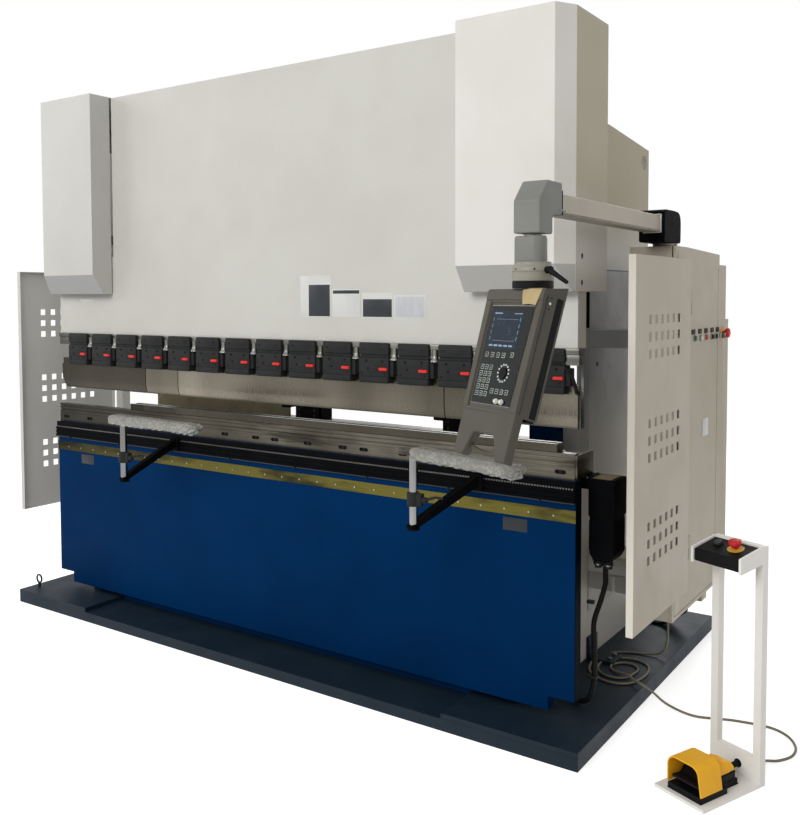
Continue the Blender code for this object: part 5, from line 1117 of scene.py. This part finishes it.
def bubble_sleeve(start, pit):
    """Bubble film round a support's arm: a soft oblong sleeve along x, dimpled all over with bubbles.

    Across, with c and s the cosine and sine of the turn round it: y is 41.5 mm times c to the power 0.55,
    and z is 21.5 mm times s to the power 0.6, both with the sign of c or s.
    A bubble is the product of two sines, one along x and one round the turn, to the power 0.7. Slow
    waves crumple the film more toward its free end. With a pit, the film under the arm draws up
    round the post.
    """
    end, pitch = 0.5415, 0.0105
    count = int((end - start) / pitch) * 5
    along = np.linspace(start, end, count + 1)[:, None]
    angle = np.linspace(0.0, 2 * math.pi, 22 * 5, endpoint=False)[None, :]
    c, s = np.cos(angle), np.sin(angle)
    wide = 0.0415 * np.sign(c) * np.abs(c) ** 0.55
    tall = 0.0215 * np.sign(s) * np.abs(s) ** 0.6
    share = (along - start) / (end - start)
    fold = np.clip((share - 0.8) / 0.2, 0.0, 1.0)
    closing = np.sqrt(np.clip(1.0 - (np.clip(share - 0.955, 0.0, 0.045) / 0.045) ** 2, 0.04, 1.0))
    opening = np.sqrt(np.clip(1.0 - (np.clip(0.012 - share, 0.0, 0.012) / 0.012) ** 2, 0.3, 1.0))
    bubbles = 1.7 * np.abs(np.sin(math.pi * (along - start) / pitch) * np.sin(11 * angle)) ** 0.7
    bubbles = bubbles * np.clip(s * 2.0 + 0.9, 0.25, 1.0) * (1.0 - 0.55 * fold)
    waves = (
        0.0022 * np.sin(37.0 * along + 3.0 * angle) * np.sin(11.0 * along + 1.3)
        + 0.0016 * np.sin(83.0 * along - 5.0 * angle + 0.7) + 0.0012 * np.sin(141.0 * along + 8.0 * angle)
    )
    crease = np.abs(np.sin(61.0 * along + 2.0 * angle)) + np.abs(np.sin(97.0 * along - 4.0 * angle + 1.0))
    rumple = waves * (0.15 + 0.75 * np.clip(-s, 0.0, 1.0) + 1.2 * fold) - 0.0016 * fold * crease
    lift = 1.0 + (0.0013 * bubbles + rumple) / 0.03
    x = along + 0.004 * np.sin(4.0 * angle + 1.0) * fold
    y = wide * lift * closing * opening
    sag = -0.004 * np.clip(-s, 0.0, 1.0) * (0.4 + np.sin(9.0 * along + 0.4) ** 2)
    z = tall * lift * closing * opening + sag + 0.01
    if pit:
        near = np.clip((0.026 - np.hypot(x, y)) / 0.006, 0.0, 1.0) * (s < 0.2)
        z = z * (1.0 - near) - 0.0002 * near
    return tube(np.stack([x, y, z], axis=-1))


def supports():
    """Each front support: bright post, black collar with its clamp handle, foot, arm end and bubble film."""
    support("left", -0.569, -3.0, -0.035, -0.068, [(-0.0715, 0.0, -0.003)])
    support("right", 1.099, -15.0, 0.075, 0.02, [(-0.056, 0.0, 0.0), (-0.01, 0.016, 0.0)])


def support(side, x, turn, skew, film_start, screws):
    """One support, with its post at x, its arm turned by some degrees and its bracket skewed along X."""
    y = -0.76
    body, arm = side + "_support", side + "_arm"
    post = bar((x, y, 0.856), (x, y, 1.1318), 0.016, 32)
    piece(side + "_post", post, "post_chrome", body, node=body + "_post")
    ring = [(0, 0.0225), (0.002, 0.0245), (0.051, 0.0245), (0.053, 0.0225)]
    boss = [(0, 0.0105), (0.004, 0.0125), (0.018, 0.0125), (0.022, 0.01)]
    collar = merged(
        turned(ring, (x, y, 0.937), UP, 32),
        block((x + 0.01, y - 0.014, 0.94), (x + 0.042, y + 0.014, 0.987), 0.004, 3),
        turned(boss, (x + 0.04, y, 0.9635), OUT, 20),
    )
    piece(side + "_collar", collar, "clamp_black", body, "rail_black")
    handle = smooth_route([
        (x + 0.052, y, 0.964), (x + 0.07, y + 0.004, 0.97), (x + 0.092, y + 0.012, 0.976),
        (x + 0.118, y + 0.022, 0.974),
    ], 0.006)
    sizes = np.interp(np.arange(len(handle)), [0, len(handle) - 1], [0.0085, 0.006])
    piece(side + "_collar_handle", swept(handle, sizes, 14, 0.7), "clamp_black", body, "rail_black")
    foot = turned([(0, 0.023), (0.002, 0.0245), (0.0085, 0.0245), (0.01, 0.023)], (x, y, 0.8445), UP, 32)
    piece(side + "_foot", foot, "rail_black", body)
    place = Matrix.Translation((x, y, 1.1523)) @ Matrix.Rotation(math.radians(turn), 4, "Z")
    if side == "right":
        stub = block((-0.079, -0.01, -0.0165), (-0.0745, 0.01, -0.004), 0.001)
        piece("right_arm_stub", moved(stub, place), "bright_zinc", arm, "table_steel")
    head = [(0, 0.0052), (0.003, 0.0052), (0.0036, 0.0044), (0.0036, 0.0026), (0.0016, 0.0022)]
    heads = stamped(turned(head, ORIGIN, UP, 14), screws)
    piece(arm + "_screws", moved(heads, place), "zinc", arm, "table_steel")
    web = [
        (-0.406, 1.0085), (-0.406, 0.964), (-0.745, 0.853), (-0.78, 0.853), (-0.78, 0.864),
        (-0.745, 0.88),
    ]
    points, faces = slab(web, "X", -0.0165, 0.0165)
    points[:, 0] += x + skew * (points[:, 1] - y) / 0.354
    piece(side + "_bracket", (points, faces), "rail_black", body, rounded=0.0025, node=body + "_bracket")
    shoe = block((x + skew - 0.03, -0.416, 0.942), (x + skew + 0.03, -0.4056, 1.008), 0.002)
    piece(side + "_shoe", shoe, "rail_black", body)
    place = Matrix.Translation((x, y, 1.1323)) @ Matrix.Rotation(math.radians(turn), 4, "Z")
    film = moved(bubble_sleeve(film_start, side == "left"), place)
    piece(side + "_film", film, "bubble_wrap", arm, angle=50.0, node=arm + "_wrap")


def gauge():
    """On the backgauge: the olive plate seen through the gap, ridges on the beam, screws and finger tips."""
    fingers = (-0.15, 0.78)
    plate = block((-1.29, 0.08, 1.003), (-0.25, 0.095, 1.169), 0.003)
    holders = [block((x, 0.09, 1.02), (x + 0.05, 0.142, 1.07), 0.002) for x in (-1.2, -0.8, -0.36)]
    piece("gauge_plate", merged(plate, *holders), "olive_paint", "backgauge", "table_steel")
    ribs = [block((-1.148, 0.1375, z), (1.148, 0.142, z + 0.01), 0.001) for z in (1.012, 1.034, 1.056)]
    piece("gauge_beam_ribs", merged(*ribs), "bright_zinc", "backgauge", "table_steel")
    caps = []
    for x in fingers:
        caps.append(block((x - 0.075, 0.108, 1.085), (x + 0.075, 0.12, 1.145), 0.003))
        caps.append(block((x - 0.024, -0.064, 1.16), (x + 0.024, -0.056, 1.179), 0.001))
    piece("gauge_finger_caps", merged(*caps), "clamp_black", "backgauge", "rail_black")
    places = [(x + dx, 0.108, z) for x in fingers for dx in (-0.05, 0.05) for z in (1.1, 1.13)]
    piece("gauge_screws", stamped(socket_screw(0.006, 0.004), places), "zinc", "backgauge", "table_steel")
    tips = [block((x - 0.028, -0.06, 1.1645), (x + 0.028, 0.02, 1.1655), 0.0004) for x in fingers]
    piece("gauge_tip_lines", merged(*tips), "zinc", "backgauge", "table_steel")


def cabinet_front():
    """The cabinet's seams, folded edge, buttons and plates, and what shows under and behind it."""
    side = CABINET_OUTER
    seams = merged(
        block((1.8045, 0.099, 1.4), (1.808, 0.101, 1.9355), 0.0004),
        block((1.8206, 0.1195, 0.39), (1.8218, 0.1225, 1.92), 0.0004),
        block((1.8206, 0.724, 0.39), (1.8218, 0.7265, 1.86), 0.0004),
        block((1.8206, 0.1195, 0.388), (1.8218, 0.7265, 0.3905), 0.0004),
    )
    piece("cabinet_seams", seams, "dark_gap", slot="white_paint")
    fold = merged(
        block((1.6255, 0.0975, 0.371), (1.804, 0.101, 1.9345), 0.001),
        block((1.8085, 0.0975, 0.371), (1.8213, 0.101, 1.9345), 0.001),
    )
    piece("cabinet_flange", fold, "cabinet_shaded_paint", slot="white_paint")
    labels = [
        block((side, y - 0.026, 1.564), (side + 0.0022, y + 0.026, 1.586), 0.0008)
        for y in (0.345, 0.441, 0.535, 0.631, 0.719)
    ]
    piece("cabinet_labels", merged(*labels), "black_plastic", node="cabinet_buttons")
    plate = block((side, 0.495, 1.1), (side + 0.0016, 0.585, 1.18), 0.0006)
    piece("cabinet_plate", plate, "plate_pale", slot="white_paint")
    places = ((0.364, 1.547), (0.453, 1.545), (0.533, 1.546), (0.625, 1.545), (0.688, 1.545))
    rings = [(side, y, z) for y, z in places]
    collar = turned([(0, 0.015), (0.003, 0.015), (0.005, 0.0132), (0.005, 0.011)], ORIGIN, OUT)
    piece("cabinet_button_rings", stamped(collar, rings), "zinc", slot="black_plastic")
    head = turned([(0, 0.0112), (0.009, 0.0112), (0.0108, 0.0096)], ORIGIN, OUT, 22)
    for name, finish, row in (
        ("cabinet_green", "button_green", rings[0:1]), ("cabinet_white", "button_white", rings[1:2]),
        ("cabinet_red", "stop_red", rings[2:3]), ("cabinet_black", "black_plastic", rings[3:5]),
    ):
        piece(name, stamped(head, row), finish, slot="black_plastic")
    barrel = [(0, 0.015), (0.004, 0.015), (0.006, 0.013), (0.009, 0.01)]
    key = merged(
        turned(barrel, (side, 0.769, 1.545), OUT, 22),
        block((side + 0.008, 0.768, 1.533), (side + 0.026, 0.77, 1.557), 0.0006),
    )
    piece("cabinet_key", key, "zinc", slot="black_plastic")
    stop = (side, 0.81, 1.556)
    disc = turned([(0, 0.0335), (0.0014, 0.0335), (0.002, 0.0325)], stop, OUT, 36)
    piece("cabinet_stop_disc", disc, "stop_yellow", slot="pedal_yellow")
    mushroom("cabinet_stop", stop, OUT)
    shelf = merged(
        block((1.3815, 0.262, 0.4), (1.63, 0.47, 0.478), 0.002),
        block((1.381, 0.262, 0.29), (1.385, 0.8, 0.415), 0.0015),
    )
    piece("cabinet_shelf", shelf, "guard_grey", slot="white_paint")
    pipe = bar((1.501, 0.26, 0.4), (1.501, 0.26, 0.472), 0.009)
    piece("shelf_stub", pipe, "cabinet_shaded_paint", slot="white_paint")
    gutters = merged(
        block((1.642, 0.64, 0.26), (1.676, 0.69, 0.37), 0.002),
        block((1.72, 0.56, 0.33), (1.81, 0.64, 0.3695), 0.002),
    )
    piece("cabinet_gutters", gutters, "cabinet_shaded_paint", slot="white_paint")
    bundle = []
    for dx, dy, lift, radius in (
        (0.0, 0.0, 0.05, 0.012), (0.026, 0.03, 0.075, 0.012), (-0.02, 0.05, 0.035, 0.01),
        (0.012, -0.03, 0.095, 0.009),
    ):
        lying = PAD_TOP + radius
        way = [
            (1.64 + dx, 0.76 + dy, 0.365), (1.64 + dx, 0.77 + dy, 0.26),
            (1.63 + dx, 0.8 + dy, 0.16 + lift * 0.4), (1.59 + dx, 0.85 + dy, PAD_TOP + lift),
            (1.52 + dx, 0.89 + dy, lying + 0.006), (1.44, 0.9 + dy, lying + 0.004),
            (1.39, 0.905 + dy, lying + 0.004),
        ]
        bundle.append(swept(smooth_route(way, 0.01), radius, 12))
    piece("cabinet_cables", merged(*bundle), "cable_black")


def mushroom(body, face, outward):
    """A stop button's red mushroom head with its dished top and the stem that enters the hole."""
    profile = [
        (-0.02, 0.0085), (0.0085, 0.0085), (0.01, 0.015), (0.015, 0.0165), (0.0175, 0.0215),
        (0.021, 0.0228), (0.0285, 0.0226), (0.0318, 0.0205), (0.0338, 0.016), (0.0334, 0.006),
    ]
    head = turned(profile, face, outward, 40)
    piece(body + "_head", head, "stop_red", body, angle=40.0, node=body + "_button")


def frame_details():
    """The side frames' strips and feet, the ram's hose, the lifting eye, tank doors and tops."""
    outer = FRAME_OUTER
    line = block((outer - 0.001, -0.095, 1.848), (outer + 0.0012, 0.98, 1.855), 0.0005)
    piece("frame_line", line, "plate_dark", slot="frame_paint")
    piece("frame_black_strip", block((1.36, 0.2515, 1.588), (1.3815, 0.2615, 1.749), 0.001), "rail_black")
    guide = block((1.343, 0.254, 1.13), (1.3595, 0.2615, 1.745), 0.001)
    piece("frame_guide_strip", guide, "bright_zinc", slot="frame_paint")
    plate = block((1.23, 0.252, 0.94), (1.345, 0.2612, 1.26), 0.001)
    piece("throat_plate", plate, "washer_white", slot="frame_paint")
    spot = turned([(0, 0.012), (0.0016, 0.012), (0.0022, 0.009)], (outer, 0.358, 1.419), OUT, 20)
    piece("frame_spot", spot, "plate_dark", slot="frame_paint")
    hose = [
        (1.485, -0.37, 1.46), (1.518, -0.374, 1.464), (1.548, -0.374, 1.452),
        (1.572, -0.37, 1.42), (1.585, -0.366, 1.382), (1.5905, -0.364, 1.356),
    ]
    piece("ram_hose", swept(smooth_route(hose, 0.006), 0.0075, 14), "cable_black", "ram", "clamp_black")
    rod = merged(
        bar((1.5935, -0.356, 1.218), (1.5935, -0.356, 1.36), 0.0028, 10),
        block((1.588, -0.362, 1.35), (1.599, -0.35, 1.366), 0.001),
    )
    piece("ram_hose_rod", rod, "clamp_black", "ram", "clamp_black")
    pads, nuts = [], []
    for side in (-1, 1):
        for y in (0.3, 0.95):
            pads.append(block(
                (side * 1.395, y - 0.06, PAD_TOP - 0.001), (side * 1.515, y + 0.06, PAD_TOP + 0.014), 0.002,
            ))
            pads.append(block(
                (side * 1.381, y - 0.05, PAD_TOP + 0.012), (side * 1.395, y + 0.05, PAD_TOP + 0.1), 0.002,
            ))
            for nut_y in (y - 0.03, y + 0.03):
                at = (side * 1.485, nut_y, PAD_TOP + 0.0138)
                nuts.append(turned([(0, 0.011), (0.009, 0.011), (0.01, 0.008)], at, UP, 6))
    piece("frame_feet", merged(*pads), "platform_paint")
    piece("frame_foot_nuts", merged(*nuts), "zinc", slot="platform_paint")
    edge = merged(
        block((-1.699, -0.592, 0.0475), (1.699, -0.5895, 0.05), 0.0006),
        block((1.115, -0.5925, 0.05), (1.119, -0.39, 0.07), 0.0006),
    )
    piece("platform_edge", edge, "platform_paint")
    eye_x, eye_y, reach = -1.647, -0.5, 0.022
    turn = np.linspace(-math.pi / 2, 1.5 * math.pi, 33)
    loop = [(eye_x + reach * math.cos(a), eye_y, 0.118 + reach * math.sin(a)) for a in turn]
    stem = bar((eye_x, eye_y, PAD_TOP), (eye_x, eye_y, 0.098), 0.008)
    piece("platform_eye", merged(swept(loop, 0.005, 10), stem), "platform_paint")
    doors = []
    for x in (-1.0, -0.2, 0.7):
        doors.append(block((x - 0.17, 0.836, 2.02), (x + 0.17, 0.848, 2.36), 0.004))
        for at in [(x + dx, 0.8475, z) for dx in (-0.14, 0.14) for z in (2.05, 2.19, 2.33)]:
            doors.append(turned([(0, 0.009), (0.006, 0.009), (0.008, 0.007)], at, (0, 1, 0), 6))
    piece("tank_doors", merged(*doors), "frame_paint")
    filler = [(0, 0.034), (0.03, 0.034), (0.032, 0.044), (0.06, 0.044), (0.066, 0.038)]
    breather = [(0, 0.06), (0.18, 0.06), (0.2, 0.048), (0.22, 0.048), (0.226, 0.04)]
    tank_top = 2.4295
    tops = merged(
        turned(filler, (-0.55, 0.58, tank_top), UP, 28), turned(breather, (0.3, 0.58, tank_top), UP, 32),
    )
    piece("tank_filler", tops, "black_plastic")
    pipes, caps = [], []
    profile = [(0, 0.07), (0.012, 0.07), (0.016, 0.064), (0.016, 0.03), (0.03, 0.028)]
    for side in (-1, 1):
        way = [
            (side * 0.36, 0.58, 2.5), (side * 0.6, 0.5, 2.56), (side * 1.05, 0.2, 2.62),
            (side * 1.26, -0.02, 2.66), (side * 1.34, -0.14, 2.68), (side * 1.35, -0.2, 2.67),
            (side * 1.35, -0.235, 2.64),
        ]
        pipes.append(swept(smooth_route(way, 0.02), 0.014, 14))
        caps.append(turned(profile, (side * 1.35, -0.3235, 2.68), UP, 36))
    piece("oil_hoses", merged(*pipes), "cable_black")
    piece("cylinder_caps", merged(*caps), "frame_paint")


def motor():
    """The crowning drive: a belt housing with its lid, the gear motor with its gold plate, and plugs."""
    x0, x1, y0, y1 = 1.608, 1.716, -0.289, -0.161
    top = merged(
        block((1.532, -0.2895, 0.976), (1.7165, -0.1605, 1.019), 0.004, 3),
        block((x0, y0, 0.87), (x1, y1, 0.979), 0.003, 3),
        block((x0 + 0.004, y0 + 0.004, 0.858), (x1 - 0.004, y1 - 0.004, 0.872), 0.002),
    )
    piece("motor_top", top, "rail_black", node="crowning_drive")
    lower = [
        (x0 + 0.003, 0.86), (x1 - 0.003, 0.86), (x1 - 0.003, 0.725), (x1 - 0.02, 0.696),
        (x0 + 0.02, 0.696), (x0 + 0.003, 0.725),
    ]
    piece("motor_body", slab(lower, "Y", y0 + 0.003, y1 - 0.003), "rail_black", rounded=0.004, steps=3)
    ribs = [
        block((x0 - 0.0005, y, 0.735), (x1 + 0.0005, y + 0.004, 0.85), 0.0008)
        for y in y0 + 0.01 + 0.012 * np.arange(9)
    ]
    piece("motor_ribs", merged(*ribs), "rail_black")
    corners = [(x, y, 1.0188) for x in (1.545, 1.6) for y in (-0.28, -0.17)]
    profile = [(0, 0.0052), (0.0035, 0.0052), (0.0042, 0.0044), (0.0042, 0.0026), (0.002, 0.0022)]
    piece("motor_bolts", stamped(turned(profile, ORIGIN, UP, 14), corners), "zinc", slot="rail_black")
    plate = block((1.62, -0.278, 1.0185), (1.696, -0.176, 1.0204), 0.0006)
    piece("motor_plate", plate, "plate_gold", slot="brass")
    lid = block((1.533, -0.2885, 1.008), (1.716, -0.1615, 1.0095), 0.0004)
    piece("motor_lid_line", lid, "zinc", slot="rail_black")
    spots = np.array([(1.635, -0.248, 0.697), (1.678, -0.248, 0.697)])
    profile = [
        (0, 0.015), (0.01, 0.015), (0.012, 0.0185), (0.022, 0.0185), (0.024, 0.014), (0.034, 0.0135),
    ]
    piece("motor_plugs", stamped(turned(profile, ORIGIN, DOWN, 20), spots), "clamp_black", slot="rail_black")
    cuffs = stamped(turned([(0, 0.0192), (0.005, 0.0192)], ORIGIN, DOWN, 20), spots - (0.0, 0.0, 0.017))
    piece("motor_plug_cuffs", cuffs, "zinc", slot="rail_black")
    profile = [(0, 0.029), (0.012, 0.029), (0.02, 0.02), (0.031, 0.015)]
    piece("motor_foot", turned(profile, (1.657, -0.225, 0.6965), DOWN), "clamp_black", slot="rail_black")
    clips = merged(
        block((1.599, -0.275, 0.518), (1.625, -0.255, 0.53), 0.001),
        block((1.599, -0.276, 0.22), (1.64, -0.248, 0.23), 0.001),
    )
    piece("conduit_clips", clips, "clamp_black", slot="rail_black")


def stand_parts():
    """On the stand's box the disc, stop button and covered switch, and below it the welds and a grommet."""
    rear, drop, rise, height, gap = 0.1345, 0.005, 0.025, 0.857, 0.0003
    run = 0.12 - gap - drop
    slope = math.atan2(rise, run)

    def on_top(x, y):
        """The frame of the box's sloped top at a place on it."""
        z = height - drop - rise * (rear - gap - y) / run
        return STAND @ Matrix.Translation((x, y, z)) @ Matrix.Rotation(slope, 4, "X")

    stop = on_top(0.03, rear - 0.049)
    mushroom("stand_stop", stop.translation, stop.to_3x3() @ Vector(UP))
    disc = turned([(0, 0.03), (0.0014, 0.03), (0.002, 0.029)], ORIGIN, UP, 36)
    piece("stand_stop_disc", moved(disc, stop), "stop_yellow", slot="pedal_yellow")
    switch = on_top(-0.042, 0.085)
    base = block((-0.013, -0.016, -0.001), (0.013, 0.016, 0.003), 0.001)
    piece("stand_switch_base", moved(base, switch), "black_plastic")
    cover = block((-0.011, -0.013, 0.002), (0.011, 0.013, 0.016), 0.004, 3)
    piece("stand_switch_cover", moved(cover, switch), "clear_cover", slot="black_plastic")
    weld = merged(
        block((-0.104, 0.1318, 0.0115), (0.104, 0.1348, 0.0145), 0.001),
        block((-0.104, -0.164, 0.002), (0.104, -0.161, 0.004), 0.0005),
    )
    piece("stand_weld", moved(weld, STAND), "stand_paint", slot="white_paint")
    profile = [(0, 0.015), (0.003, 0.015), (0.004, 0.0135), (0.004, 0.011)]
    ring = turned(profile, (0.015, 0.1345, 0.053), FRONT, 22)
    piece("stand_grommet", moved(ring, STAND), "black_plastic")


def arch(left, right, flare, top, radius):
    """The outline of the pedal's hood: upright at the left, flared at the right, with round shoulders."""
    bottom = 0.0347
    turn = np.linspace(0.0, math.pi / 2, 8)
    over = [(right - radius + radius * math.cos(a), top - radius + radius * math.sin(a)) for a in turn]
    back = [(left + radius - radius * math.sin(a), top - radius + radius * math.cos(a)) for a in turn]
    return [(right + flare, bottom), *over, *back, (left, bottom)]


def pedal_parts():
    """The pedal: an arched hood of thick sheet, a faceted rear housing, a ribbed treadle and its base."""
    part = maker(STAND, "machine")
    outer = arch(-0.0655, 0.0715, 0.0105, 0.1333, 0.034)
    inner = arch(-0.06, 0.066, 0.0105, 0.1278, 0.03)
    hood = slab(outer + inner[::-1], "Y", -0.147, -0.034)
    part("pedal_hood_sheet", hood, "pedal_yellow", rounded=0.0022, steps=3, node="pedal_hood")
    wall = slab(arch(-0.062, 0.068, 0.009, 0.13, 0.031), "Y", -0.04, -0.0345)
    part("pedal_back_wall", wall, "pedal_yellow")
    low = [
        (-0.0385, 0.0625), (0.0565, 0.0625), (0.0565, 0.082), (0.043, 0.0985), (-0.025, 0.0985),
        (-0.0385, 0.082),
    ]
    small = [
        (-0.0365, 0.0625), (0.0545, 0.0625), (0.0545, 0.076), (0.04, 0.088), (-0.022, 0.088),
        (-0.0365, 0.076),
    ]
    lid = merged(slab(low, "Y", -0.035, 0.04), slab(small, "Y", 0.039, 0.063))
    part("pedal_rear", lid, "pedal_yellow", rounded=0.004, steps=3)
    part("pedal_belly", block((-0.04, -0.0345, 0.034), (0.058, 0.064, 0.0635), 0.003, 3), "black_plastic")
    rim = block((-0.0405, -0.034, 0.06), (0.0585, 0.0645, 0.063), 0.001)
    part("pedal_rim", rim, "rail_black", "black_plastic")
    lip = merged(
        block((-0.063, -0.148, 0.0125), (0.081, -0.007, 0.018), 0.002),
        block((-0.043, -0.008, 0.0125), (0.061, 0.0775, 0.018), 0.002),
    )
    part("pedal_base_lip", lip, "black_plastic")
    hinge = STAND @ Matrix.Translation((0.009, -0.049, 0.0453)) @ Matrix.Rotation(math.radians(-9.0), 4, "X")
    plate = [
        (-0.0895, -0.0045), (0.004, -0.0045), (0.004, 0.004), (-0.002, 0.012), (-0.011, 0.029),
        (-0.021, 0.0335), (-0.033, 0.029), (-0.044, 0.013), (-0.052, 0.0065), (-0.088, 0.005),
        (-0.0905, 0.002),
    ]
    tread = moved(slab(plate, "X", -0.06, 0.06), hinge)
    piece("treadle_plate", tread, "black_plastic", "treadle", rounded=0.0018, node="pedal_treadle")
    ribs = [
        block((-0.056, y, 0.004), (0.056, y + 0.0035, 0.0064), 0.0008, 1)
        for y in -0.086 + 0.008 * np.arange(5)
    ]
    piece("treadle_ribs", moved(merged(*ribs), hinge), "black_plastic", "treadle")
    pin = bar((-0.0655, 0.0, 0.0), (0.0655, 0.0, 0.0), 0.0035, 12)
    piece("treadle_pin", moved(pin, hinge), "black_plastic", "treadle")


finishes()
camera()
studio()
cables()
plain_nodes()
covers()
clamps()
punch()
table()
rail()
blank_plates()
controller()
pendant()
supports()
gauge()
cabinet_front()
frame_details()
motor()
stand_parts()
pedal_parts()
